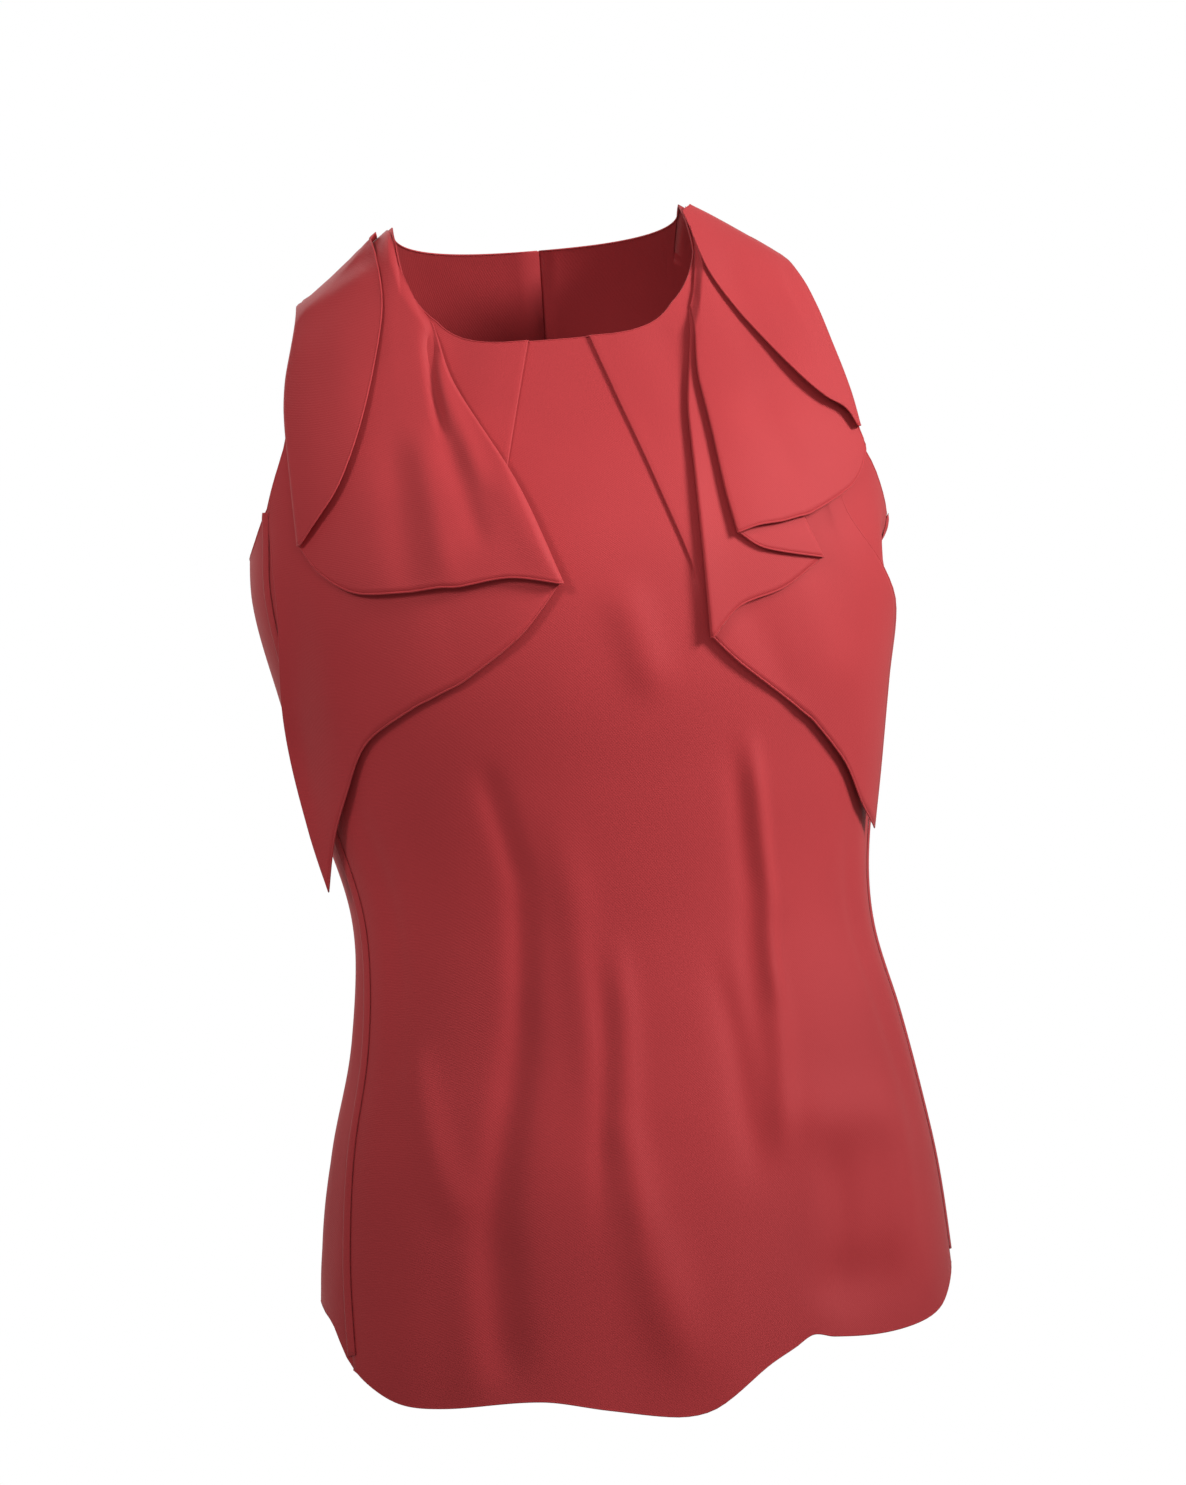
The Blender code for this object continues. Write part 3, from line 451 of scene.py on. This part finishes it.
def neck_edge(share, drop):
    """Distance from the middle and height along the neck, from its point to its middle."""
    turn = math.radians(90 * (1 - share))
    x = NECK_HALF * math.sin(turn) ** NECK_POWER
    return x, -drop * max(math.cos(turn), 0.0) ** NECK_POWER


def top_edge(station, is_front):
    """Angle and height of a panel's upper edge. Stations 0, 1, 2, 3 are the side seam, the
    shoulder tip, the neck point and the centre; 4, 5, 6 are the same on the other side."""
    sign, place = (-1, station) if station <= 3 else (1, 6 - station)
    if place < 1:
        tables = ((FRONT_ARM_RIGHT, FRONT_ARM_LEFT) if is_front
                  else (BACK_ARM_RIGHT, BACK_ARM_LEFT))
        return arm_edge(tables[0 if sign < 0 else 1], place)
    inward = NECK_LEFT_IN if sign > 0 else 0.0
    if place < 2:
        x = SHOULDER_HALF + (place - 1) * (NECK_HALF - inward - SHOULDER_HALF)
        height = float(shoulder_line(sign * x))
    else:
        x, height = neck_edge(place - 2, NECK_FRONT_DROP if is_front else NECK_BACK_DROP)
        x -= inward * max(1 + height / NECK_LEFT_RUN, 0)
    angle = float(body_angle(x, np.array(height)))
    return sign * (angle if is_front else 180 - angle), height


def panel_place(station, share, is_front, upper, edge, hem_height):
    """Angle and height in a panel: share 0 at the chest, 1 at the upper or lower edge."""
    guides = FRONT_GUIDES if is_front else BACK_GUIDES
    chest, hem, bend, crowd = (read_straight(guides, station, i) for i in (1, 2, 3, 4))
    if upper:
        share = 1 - (1 - share) ** crowd
        angle, height = edge
        bent = share ** bend
    else:
        bow = SEAM_BOW * max(1 - station, 0) * math.sin(math.pi * share)
        chest, angle, height, bent = chest + bow, hem + bow, hem_height, share
    return chest + (angle - chest) * bent, CHEST_HEIGHT + (height - CHEST_HEIGHT) * share


def pleat_state(pleat, height):
    """Depth of a pleat and how far its turns are bent (radians) at a height."""
    full_to, gone_at = pleat[2:]
    closed = float(ease((height - gone_at * MM) / ((full_to - gone_at) * MM)))
    return PLEAT_DEPTH * max(2 * closed - 1, 0), math.pi * min(2 * closed, 1)


def pleat_shift(pleat, step, height):
    """Sideways and outward shift of one column of a pleat, along its folded path."""
    depth, bend = pleat_state(pleat, height)
    radius = PLEAT_PITCH / 2
    if step == PLEAT_LAST:
        sideways = max(depth + PLEAT_PAST, PLEAT_REACH)
        return pleat[0] * sideways, radius * 2 * (1 - math.cos(bend))
    if step <= PLEAT_TURN:
        turn = bend * step / PLEAT_TURN
        sideways, outward = depth + radius * math.sin(turn), radius * (1 - math.cos(turn))
    else:
        turn = bend * (step - PLEAT_TURN) / PLEAT_TURN
        sideways = radius * (2 * math.sin(bend) - math.sin(bend - turn))
        outward = radius * (1 + math.cos(bend - turn) - 2 * math.cos(bend))
    flat = PLEAT_FLAT * (2 * step / (PLEAT_LAST - 1) - 1)
    opened = 1 - bend / math.pi
    return pleat[0] * (sideways + opened * (flat - sideways)), outward


def strip_lift(station, height):
    """How far the cloth beside the pleats lies out, on top of their layers."""
    total = 0.0
    for pleat in PLEATS:
        away = pleat[0] * (station - pleat[1])
        if away > 0:
            rise = PLEAT_PITCH * (1 - math.cos(pleat_state(pleat, height)[1]))
            total += rise * (1 - float(ease(away / STRIP_FALL)))
    return total


def edge_stations():
    """Stations of the columns from a side seam to the neck point."""
    return ([i / ARM_COLUMNS for i in range(ARM_COLUMNS)]
            + [1 + i / SHOULDER_COLUMNS for i in range(SHOULDER_COLUMNS)])


def front_columns():
    """Station, pleat, step and how much of the pleat's sideways shift is taken."""
    outer = edge_stations()
    outer += [2 + (NECK_END - 2) * i / NECK_COLUMNS for i in range(NECK_COLUMNS + 1)]
    columns = []
    for side, pleat in ((-1, PLEATS[0]), (1, PLEATS[1])):
        inner = pleat[1] if side < 0 else 6 - pleat[1]
        half = [(station if side < 0 else 6 - station, None, 0, 0) for station in outer]
        for i in range(1, STRIP_COLUMNS):  # the strip between the ruffle and the pleat
            share = i / STRIP_COLUMNS
            station = NECK_END + (inner - NECK_END) * share
            half.append((station if side < 0 else 6 - station, pleat, -1, share))
        half.append((pleat[1], pleat, PLEAT_LAST, 1))
        for i in range(1, LAYER_COLUMNS):  # the pleat's top layer, up to its fold
            half.append((pleat[1], pleat, PLEAT_LAST - i / LAYER_COLUMNS, 1))
        half += [(pleat[1], pleat, step, 1) for step in range(PLEAT_LAST - 1, -1, -1)]
        for i in range(1, CENTRE_COLUMNS):  # the centre of the front
            share = i / CENTRE_COLUMNS
            half.append((pleat[1] + (3.0 - pleat[1]) * share, pleat, 0, 1 - share))
        columns.append(half)
    return columns[0] + [(3.0, None, 0, 0)] + columns[1][::-1]


def column_shift(column, height):
    """Sideways and outward shift of a front column at a height."""
    station, pleat, step, share = column
    if pleat is None:
        return 0.0, strip_lift(station, height)
    if step == -1:
        return pleat_shift(pleat, PLEAT_LAST, height)[0] * share, strip_lift(station, height)
    if share < 1:
        return pleat_shift(pleat, 0, height)[0] * share, 0.0
    if step != int(step):
        ends = [pleat_shift(pleat, end, height) for end in (PLEAT_LAST - 1, PLEAT_LAST)]
        part = step - (PLEAT_LAST - 1)
        return tuple(a + (b - a) * part for a, b in zip(*ends))
    return pleat_shift(pleat, step, height)


def row_shares(count, length):
    """Shares from a panel's edge to its chest, with close rows at the edge."""
    near = [1 - mm / length for mm in EDGE_ROWS]
    wide = count - len(EDGE_ROWS)
    return near + [near[-1] * (1 - i / wide) for i in range(1, wide + 1)]


def panel_grid(columns, is_front):
    """Angle, height and outward shift of every point of a panel, from edge to hem."""
    upper = row_shares(UPPER_ROWS, UPPER_LENGTH)
    lower = row_shares(LOWER_ROWS, LOWER_LENGTH)[::-1]
    angles, heights, outs = [], [], []
    for column in columns:
        station = column[0]
        edge = top_edge(station, is_front)
        if not is_front and edge[0] > 0:
            edge = (edge[0] - 360, edge[1])
        hem_angle = read_straight(FRONT_GUIDES if is_front else BACK_GUIDES, station, 2)
        if is_front:  # where the column meets the hem once its pleat is open
            hem_angle += math.degrees(column_shift(column, HEM_LEVEL)[0] / PLEAT_ARM)
        hem = read_smooth(HEM, (hem_angle + 180) % 360 - 180, 1) * MM
        places = [panel_place(station, s, is_front, True, edge, hem) for s in upper[:-1]]
        places += [panel_place(station, s, is_front, False, edge, hem) for s in lower]
        shifts = [column_shift(column, h) if is_front else (0.0, 0.0) for _, h in places]
        angles.append([a + math.degrees(s[0] / PLEAT_ARM) for (a, _), s in zip(places, shifts)])
        heights.append([h for _, h in places])
        outs.append([s[1] for s in shifts])
    return np.array(angles).T, np.array(heights).T, np.array(outs).T


def add_creases(grid, angle, height, normal):
    """Moves a panel's points out by its creases, which fade at its upper and lower edge."""
    row = np.arange(len(grid))
    fade = ease(np.minimum(row, len(grid) - 1 - row) / FADE_ROWS)[:, None]
    grid += normal * (crease_depth(angle, height) * fade)[..., None]


# ---- meshes

def link(name, data):
    piece = bpy.data.objects.new(name, data)
    bpy.context.scene.collection.objects.link(piece)
    return piece


def smooth_piece(name, work):
    """An object with smooth faces from a bmesh, which is freed."""
    bmesh.ops.recalc_face_normals(work, faces=work.faces)
    mesh = bpy.data.meshes.new(name)
    work.to_mesh(mesh)
    work.free()
    mesh.polygons.foreach_set("use_smooth", [True] * len(mesh.polygons))
    return link(name, mesh)


def cloth_piece(name, grid, split=None):
    """A thin shell of cloth through a grid of points; split is (middle column, rows)."""
    rows, cols = grid.shape[:2]
    work = bmesh.new()
    verts = [[work.verts.new(point) for point in row] for row in grid.tolist()]
    opened = {}
    if split:
        for r in range(split[1]):
            point = verts[r][split[0]]
            lap = Vector((-SLIT_LAP, SLIT_STEP, 0))
            opened[r] = work.verts.new(point.co + lap)
            point.co -= lap
    for r in range(rows - 1):
        for c in range(cols - 1):
            corner = [verts[r][c], verts[r][c + 1], verts[r + 1][c + 1], verts[r + 1][c]]
            if split and c == split[0]:
                corner[0] = opened.get(r, corner[0])
                corner[3] = opened.get(r + 1, corner[3])
            work.faces.new(corner)
    piece = smooth_piece(name, work)
    shell = piece.modifiers.new("cloth", "SOLIDIFY")
    shell.thickness = CLOTH
    shell.offset = 0
    shell.use_even_offset = False
    shell.use_quality_normals = True
    return piece


def tube(name, points, normals, wide, thick, closed=False, sides=8):
    """A flattened roll of cloth along a line, wide along the cloth and thick across it."""
    points, normals = np.asarray(points), unit(np.asarray(normals))
    count = len(points)
    ahead = np.roll(points, -1, 0) - np.roll(points, 1, 0)
    if not closed:
        ahead[0], ahead[-1] = points[1] - points[0], points[-1] - points[-2]
    ahead = unit(ahead)
    inward = unit(np.cross(ahead, normals))
    work = bmesh.new()
    rings = []
    for p, n, i in zip(points, normals, inward):
        ring = []
        for k in range(sides):
            turn = 2 * math.pi * k / sides
            at = p + i * (math.cos(turn) * wide / 2) + n * (math.sin(turn) * thick / 2)
            ring.append(work.verts.new(at.tolist()))
        rings.append(ring)
    for a in range(count if closed else count - 1):
        first, second = rings[a], rings[(a + 1) % count]
        for k in range(sides):
            work.faces.new((first[k], first[(k + 1) % sides],
                            second[(k + 1) % sides], second[k]))
    if not closed:
        work.faces.new(rings[0])
        work.faces.new(rings[-1][::-1])
    return smooth_piece(name, work)


def grid_normals(grid):
    """Outward normals of a grid of cloth."""
    down = np.gradient(grid, axis=0)
    across = np.gradient(grid, axis=1)
    return unit(np.cross(across, down))


# ---- the panels

def make_front():
    """The front with its pleats: the piece, its points and its columns."""
    columns = front_columns()
    angle, height, outward = panel_grid(columns, True)
    lapped = ease(np.arange(len(angle)) / LAP_ROWS)
    for column, sign in ((0, -1), (-1, 1)):
        angle[:, column] += sign * SEAM_LAP * lapped
        outward[:, column] += SEAM_LIFT * lapped
    normal = body_normals(angle, height)
    raised = normal * np.array(PLEAT_RISE)
    lift = outward / np.sum(raised * normal, -1)
    grid = body_points(angle, height) + raised * lift[..., None]
    add_creases(grid, angle, height, normal)
    return cloth_piece("front_cloth", grid), grid, columns


def make_back():
    """The back with its slit: the piece, its points and its stations."""
    half = edge_stations() + [2 + i / BACK_NECK_COLUMNS for i in range(BACK_NECK_COLUMNS)]
    stations = half + [3.0] + [6 - station for station in reversed(half)]
    angle, height, _ = panel_grid([(s, None, 0, 0) for s in stations], False)
    grid = body_points(angle, height)
    add_creases(grid, angle, height, body_normals(angle, height))
    middle = len(stations) // 2
    rows = int(np.sum(height[:, middle] > -NECK_BACK_DROP - SLIT_LENGTH))
    return cloth_piece("back_cloth", grid, (middle, rows)), grid, stations


# ---- the ruffles

def along(points, share):
    """The place at a share of the way along a ruffle line."""
    travel = [0.0]
    for first, second in zip(points, points[1:]):
        travel.append(travel[-1] + math.dist(first, second))
    rows = [(way / travel[-1],) + tuple(point) for way, point in zip(travel, points)]
    read = read_straight if len(rows) == 2 else read_smooth
    return tuple(read(rows, share, axis) for axis in (1, 2, 3))


def ruffle_row(lines, share):
    """Points of all lines of a ruffle at one share of their length (mm)."""
    sewn = ROOT_STAND + (HANG_STAND - ROOT_STAND) * float(ease(share / ROOT_END))
    row = []
    for line in lines:
        if line[0] != "turn":
            x, height, stand = along(line, share)
            row.append((x, height, stand * sewn))
            continue
        _, side, root, hem, *points = line
        x, height, stand = along(points, share)
        half = (root + (hem - root) * share) * sewn
        for turn in TURN_ANGLES:
            angle = math.radians(turn)
            row.append((x - side * half * (1 - math.cos(angle)), height,
                        stand * sewn + half * math.sin(angle)))
    return row


def fold_stand(folds, layer, x, height):
    """How far the soft folds of a ruffle move one of its points (mm)."""
    total = 0.0
    for fold_layer, x_1, h_1, x_2, h_2, half_width, depth in folds:
        if fold_layer != layer:
            continue
        run_x, run_h = x_2 - x_1, h_2 - h_1
        length = math.hypot(run_x, run_h)
        share = ((x - x_1) * run_x + (height - h_1) * run_h) / length ** 2
        away = ((x - x_1) * run_h - (height - h_1) * run_x) / length
        fade = float(ease((share + RUFFLE_FADE) / (2 * RUFFLE_FADE))
                     * ease((1 + RUFFLE_FADE - share) / (2 * RUFFLE_FADE)))
        total += depth * fade * math.exp(-(away / half_width) ** 2)
    return total


def fill_row(row, counts, share):
    """A row with columns added between its lines, on curves that hardly overshoot."""
    soft = float(ease(share * CURVE_RISE))
    row = [np.array(point) for point in row]
    filled = [row[0]]
    for i, count in enumerate(counts, 1):
        first, second = row[i - 1], row[i]
        span = np.linalg.norm(second - first)
        leave = (second - row[max(i - 2, 0)]) / 2
        arrive = (row[min(i + 1, len(row) - 1)] - first) / 2
        leave = leave * min(1, HANDLE_LIMIT * span / max(np.linalg.norm(leave), 1e-9))
        arrive = arrive * min(1, HANDLE_LIMIT * span / max(np.linalg.norm(arrive), 1e-9))
        for step in range(1, count + 1):
            t = step / count
            straight = first + (second - first) * t
            curved = curve(first, second, leave, arrive, t)
            filled.append(soft * curved + (1 - soft) * straight)
    return filled


def stand_on(x, height, stand):
    """Points seen at x and height from the front, standing off the bodice."""
    base_x, base_height = x.copy(), height.copy()
    for _ in range(STAND_ROUNDS):
        base_height = np.minimum(base_height, shoulder_line(base_x) - SHOULDER_CLEAR)
        angle = body_angle(base_x, base_height)
        point = (body_points(angle, base_height)
                 + body_normals(angle, base_height) * stand[..., None])
        base_x += STAND_STEP * (x - point[..., 0])
        base_height += STAND_STEP * (height - point[..., 2])
    return point


def column_layers(lines, counts):
    """The layer that each column of a ruffle lies in, None on its turns."""
    marks, layer = [], 0
    for line in lines:
        if line[0] == "turn":
            marks += [None] * len(TURN_ANGLES)
            layer += 1
        else:
            marks.append(layer)
    filled = [marks[0]]
    for before, mark, count in zip(marks, marks[1:], counts):
        filled += [mark if before is None else before] * (count - 1) + [mark]
    return filled


def make_ruffle(name, lines, folds):
    """A ruffle's piece and points, through its lines and over its soft folds."""
    hem = ruffle_row(lines, 1)
    counts = [max(1, round(math.dist(first, second) / WIDE_STEP))
              for first, second in zip(hem, hem[1:])]
    layers = column_layers(lines, counts)
    rows = []
    for i in range(RUFFLE_ROWS + 1):
        share = (i / RUFFLE_ROWS) ** ROOT_DENSITY
        row = fill_row(ruffle_row(lines, share), counts, share)
        reached = float(ease(share / SEEN_END))
        rows.append([(x + reached * read_straight(SEEN_SHIFT, x, 1), height,
                      stand + (0 if layer is None else fold_stand(folds, layer, x, height)))
                     for (x, height, stand), layer in zip(row, layers)])
    values = np.array(rows) * MM
    grid = stand_on(values[..., 0], values[..., 1], values[..., 2])
    return cloth_piece(name, grid), grid


# ---- hems and seams

def ruffle_roll(name, grid):
    """The rolled hem along the three free sides of a ruffle."""
    normal = grid_normals(grid)
    down, up = slice(ROLL_START, None), slice(None, ROLL_START - 1, -1)
    sides = ((grid[down, 0], grid[down, 1], normal[down, 0]),
             (grid[-1, 1:-1], grid[-2, 1:-1], normal[-1, 1:-1]),
             (grid[up, -1], grid[up, -2], normal[up, -1]))
    points = [edge + unit(inside - edge) * ROLL_INSET for edge, inside, _ in sides]
    return tube(name, np.concatenate(points), np.concatenate([side[2] for side in sides]),
                ROLL_WIDE, ROLL_THICK)


def thin_out(points, normals, closed):
    """Points and softened normals of a path without its doubled points."""
    keep = [0]
    for i in range(1, len(points)):
        if np.linalg.norm(points[i] - points[keep[-1]]) > ROLL_STEP:
            keep.append(i)
    points, normals = points[keep], normals[keep]
    for _ in range(SOFTEN_ROUNDS):
        beside = np.roll(normals, 1, 0) + np.roll(normals, -1, 0)
        softer = unit(normals + SOFTEN_SHARE * beside)
        normals = softer if closed else np.vstack((normals[:1], softer[1:-1], normals[-1:]))
    return points, normals


def shown(column, fold_x, x):
    """True where a column of the front's upper edge lies on top of its pleat."""
    _, pleat, step, share = column
    if pleat is None or step == -1:
        return True
    if share < 1:
        return pleat[0] * (x - fold_x[pleat[0]]) < 0
    return step >= PLEAT_EDGE


def edge_strips(front_grid, columns, back_grid, stations):
    """Upper edges of both panels by name: points and normals from the wearer's right."""
    fronts, backs = grid_normals(front_grid), grid_normals(back_grid)
    fold_x = {}
    for i, column in enumerate(columns):
        if column[1] and column[3] == 1 and column[2] == PLEAT_EDGE:
            fold_x[column[1][0]] = front_grid[0, i, 0]
    strips = {}
    for name, low, high in (("right_arm", 0, 1), ("right_shoulder", 1, 2), ("neck", 2, 4),
                            ("left_shoulder", 4, 5), ("left_arm", 5, 6)):
        ahead = [i for i, c in enumerate(columns) if low <= c[0] <= high
                 and shown(c, fold_x, front_grid[0, i, 0])]
        behind = [i for i, station in enumerate(stations) if low <= station <= high]
        strips[name] = (front_grid[0, ahead], fronts[0, ahead],
                        back_grid[0, behind], backs[0, behind])
    return strips


def panel_rolls(front_grid, columns, back_grid, stations):
    """Rolled edges of neck, armholes and hem, and the seams between the panels."""
    strips = edge_strips(front_grid, columns, back_grid, stations)
    pieces = []
    for side in ("right_arm", "left_arm"):
        ahead, ahead_n, behind, behind_n = strips[side]
        points, normals = thin_out(np.concatenate((ahead, behind[::-1])),
                                   np.concatenate((ahead_n, behind_n[::-1])), True)
        pieces.append(tube(side + "_roll", points, normals, ROLL_THICK, ROLL_WIDE, True))
    ahead, ahead_n, behind, behind_n = strips["neck"]
    middle = len(behind) // 2
    path = np.concatenate((behind[:middle + 1][::-1], ahead, behind[middle:][::-1]))
    path[0, 0], path[-1, 0] = -SLIT_LAP, SLIT_LAP
    path_n = np.concatenate((behind_n[:middle + 1][::-1], ahead_n, behind_n[middle:][::-1]))
    points, normals = thin_out(path, path_n, False)
    pieces.append(tube("neck_roll", points, normals, ROLL_THICK, ROLL_WIDE))
    for side in ("right_shoulder", "left_shoulder"):
        points = strips[side][2]
        up = np.tile((0.0, 0.0, 1.0), (len(points), 1))
        pieces.append(tube(side + "_seam", points, up, *SHOULDER_SEAM))
    for name, grid in (("front", front_grid), ("back", back_grid)):
        normal = grid_normals(grid)[-1]
        points = grid[-1] + unit(grid[-2] - grid[-1]) * ROLL_INSET
        points, normals = thin_out(points, normal, False)
        pieces.append(tube(name + "_hem_roll", points, normals, ROLL_WIDE, ROLL_THICK))
    for name, edge, inner in (("right", 0, SEAM_INSET), ("left", -1, -1 - SEAM_INSET)):
        inside = -grid_normals(front_grid)[SEAM_ROWS, inner]
        points = front_grid[SEAM_ROWS, edge] + inside * (CLOTH / 2 + SEAM_LIFT + SEAM_THICK / 2)
        pieces.append(tube(name + "_side_seam", points, inside, SEAM_WIDE, SEAM_THICK))
    return pieces


# ---- materials

def nodes_of(name):
    """A new material, its node tree and its shader."""
    material = bpy.data.materials.new(name)
    material.use_nodes = True
    tree = material.node_tree
    return material, tree, tree.nodes["Principled BSDF"]


def set_inputs(node, values):
    """Gives a node's inputs their values or links them to outputs."""
    for key, value in values.items():
        if isinstance(value, bpy.types.NodeSocket):
            node.id_data.links.new(value, node.inputs[key])
        else:
            node.inputs[key].default_value = value


def add_node(tree, kind, **values):
    """A new shader node with its inputs."""
    node = tree.nodes.new("ShaderNode" + kind)
    set_inputs(node, values)
    return node


def crepe(name, light, dark):
    """Matte crepe: two close reds in soft patches, a pebbled twist grain and a soft nap."""
    material, tree, shader = nodes_of(name)
    coords = add_node(tree, "TexCoord").outputs["Object"]
    patches = add_node(tree, "TexNoise", Vector=coords, Scale=9, Detail=2)
    ramp = add_node(tree, "ValToRGB", Fac=patches.outputs["Fac"])
    for element, position, colour in zip(ramp.color_ramp.elements, (0.3, 0.7), (dark, light)):
        element.position, element.color = position, (*colour, 1)
    grain = add_node(tree, "TexNoise", Vector=coords, Scale=1500, Detail=3)
    flecks = add_node(tree, "Mix")
    flecks.data_type, flecks.blend_type = "RGBA", "MULTIPLY"
    set_inputs(flecks, {"Factor": 0.18, "A": ramp.outputs["Color"], "B": grain.outputs["Fac"]})
    weave = add_node(tree, "TexWave", Vector=coords, Scale=420, Distortion=3.0, Detail=2)
    weave.wave_type, weave.bands_direction = "BANDS", "DIAGONAL"
    weave.inputs["Detail Scale"].default_value = 3
    bumps = add_node(tree, "Math")
    bumps.operation = "MULTIPLY_ADD"
    set_inputs(bumps, {0: weave.outputs["Fac"], 1: 0.45, 2: grain.outputs["Fac"]})
    bump = add_node(tree, "Bump", Strength=0.35, Distance=0.00025, Height=bumps.outputs["Value"])
    set_inputs(shader, {
        "Base Color": flecks.outputs["Result"], "Normal": bump.outputs["Normal"],
        "Roughness": 0.72, "Specular IOR Level": 0.32, "Sheen Weight": 0.22,
        "Sheen Roughness": 0.45, "Sheen Tint": (1.0, 0.5, 0.47, 1)})
    return material


def button_material():
    """Smooth dyed resin with a faint swirl."""
    material, tree, shader = nodes_of("dyed_button")
    coords = add_node(tree, "TexCoord").outputs["Object"]
    swirl = add_node(tree, "TexNoise", Vector=coords, Scale=260, Detail=3)
    ramp = add_node(tree, "ValToRGB", Fac=swirl.outputs["Fac"])
    for element, colour in zip(ramp.color_ramp.elements, (BUTTON_DARK, BUTTON_LIGHT)):
        element.color = (*colour, 1)
    set_inputs(shader, {"Base Color": ramp.outputs["Color"], "Roughness": 0.3,
                        "Coat Weight": 0.3})
    return material


# ---- the scene

CREPE = crepe("crepe", CREPE_LIGHT, CREPE_DARK)


def finish_piece(piece, nodes=()):
    piece.data.materials.append(CREPE)
    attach(piece, "root")
    if nodes:
        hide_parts(*nodes)


front, front_grid, front_list = make_front()
back, back_grid, back_list = make_back()
right, right_grid = make_ruffle("wearer_right_ruffle_cloth", RUFFLE_RIGHT, RIGHT_FOLDS)
left, left_grid = make_ruffle("wearer_left_ruffle_cloth", RUFFLE_LEFT, LEFT_FOLDS)
finish_piece(front, ["front_panel"])
finish_piece(back, ["back_panel"])
finish_piece(right, ["wearer_right_ruffle"])
finish_piece(left, ["wearer_left_ruffle"])
rolls = panel_rolls(front_grid, front_list, back_grid, back_list)
right_roll = ruffle_roll("wearer_right_ruffle_roll", right_grid)
left_roll = ruffle_roll("wearer_left_ruffle_roll", left_grid)
on_back = [roll for roll in rolls if roll.name.startswith("back")]
on_front = [roll for roll in rolls if roll not in on_back]
for slot, group in (("front_cloth", on_front), ("back_cloth", on_back),
                    ("ruffle_cloth", (right_roll, left_roll))):
    for roll in group:
        finish_piece(roll)

for node, object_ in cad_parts.items():
    if node in ("nape_button", "nape_loop"):
        material = button_material() if node == "nape_button" else CREPE
        object_.data.materials.clear()
        object_.data.materials.append(material)

# Floor, light and camera.
floor_mesh = bpy.data.meshes.new("floor")
corners = [(x * FLOOR_HALF, y * FLOOR_HALF, 0) for x, y in ((-1, -1), (1, -1), (1, 1), (-1, 1))]
floor_mesh.from_pydata(corners, [], [(0, 1, 2, 3)])
floor = link("floor", floor_mesh)
floor.location = (0, 0, FLOOR_HEIGHT)
floor_material, _, floor_shader = nodes_of("pale_floor")
set_inputs(floor_shader, {"Base Color": (0.9, 0.9, 0.9, 1), "Roughness": 0.9})
floor_mesh.materials.append(floor_material)

world = bpy.data.worlds.new("studio")
bpy.context.scene.world = world
world.use_nodes = True
studio = world.node_tree
facing = add_node(studio, "VectorMath")
facing.operation = "DOT_PRODUCT"
set_inputs(facing, {0: add_node(studio, "TexCoord").outputs["Generated"], 1: GLOW_WAY})
glow = add_node(studio, "MapRange", Value=facing.outputs["Value"])
glow.interpolation_type = "SMOOTHSTEP"  # a brighter patch of wall behind
set_inputs(glow, {"From Min": GLOW_FROM, "From Max": GLOW_FULL, "To Min": AMBIENT, "To Max": 1.0})
set_inputs(studio.nodes["Background"], {"Color": glow.outputs["Result"], "Strength": 1.0})


def light(name, kind, place, target, size, power, cone):
    """A lamp at a place, turned to its target."""
    lamp = bpy.data.lights.new(name, kind)
    lamp.energy = power
    if kind == "AREA":
        lamp.size = size
    else:
        lamp.shadow_soft_size = size
        lamp.spot_size = math.radians(cone)
        lamp.spot_blend = 1.0
    holder = link(name, lamp)
    holder.location = place
    aim = Vector(target) - Vector(place)
    holder.rotation_euler = aim.to_track_quat("-Z", "Y").to_euler()


for row in LIGHTS:
    light(*row)

camera = bpy.data.cameras.new("camera")
camera.sensor_fit = "HORIZONTAL"
camera.sensor_width = SENSOR
camera.lens = SENSOR * CAMERA_DISTANCE / (FRAME_WIDTH * PIXEL)
camera_object = link("camera", camera)
target, yaw = Vector(CAMERA_TARGET), math.radians(CAMERA_YAW)
place = target + CAMERA_DISTANCE * Vector((-math.sin(yaw), -math.cos(yaw), 0))
forward = (target - place).normalized()
level = forward.to_track_quat("-Z", "Y").to_matrix().to_4x4()
camera_object.matrix_world = (Matrix.Translation(place) @ level
                              @ Matrix.Rotation(math.radians(-CAMERA_ROLL), 4, "Z"))
bpy.context.scene.camera = camera_object
bpy.context.scene.view_settings.view_transform = "Standard"
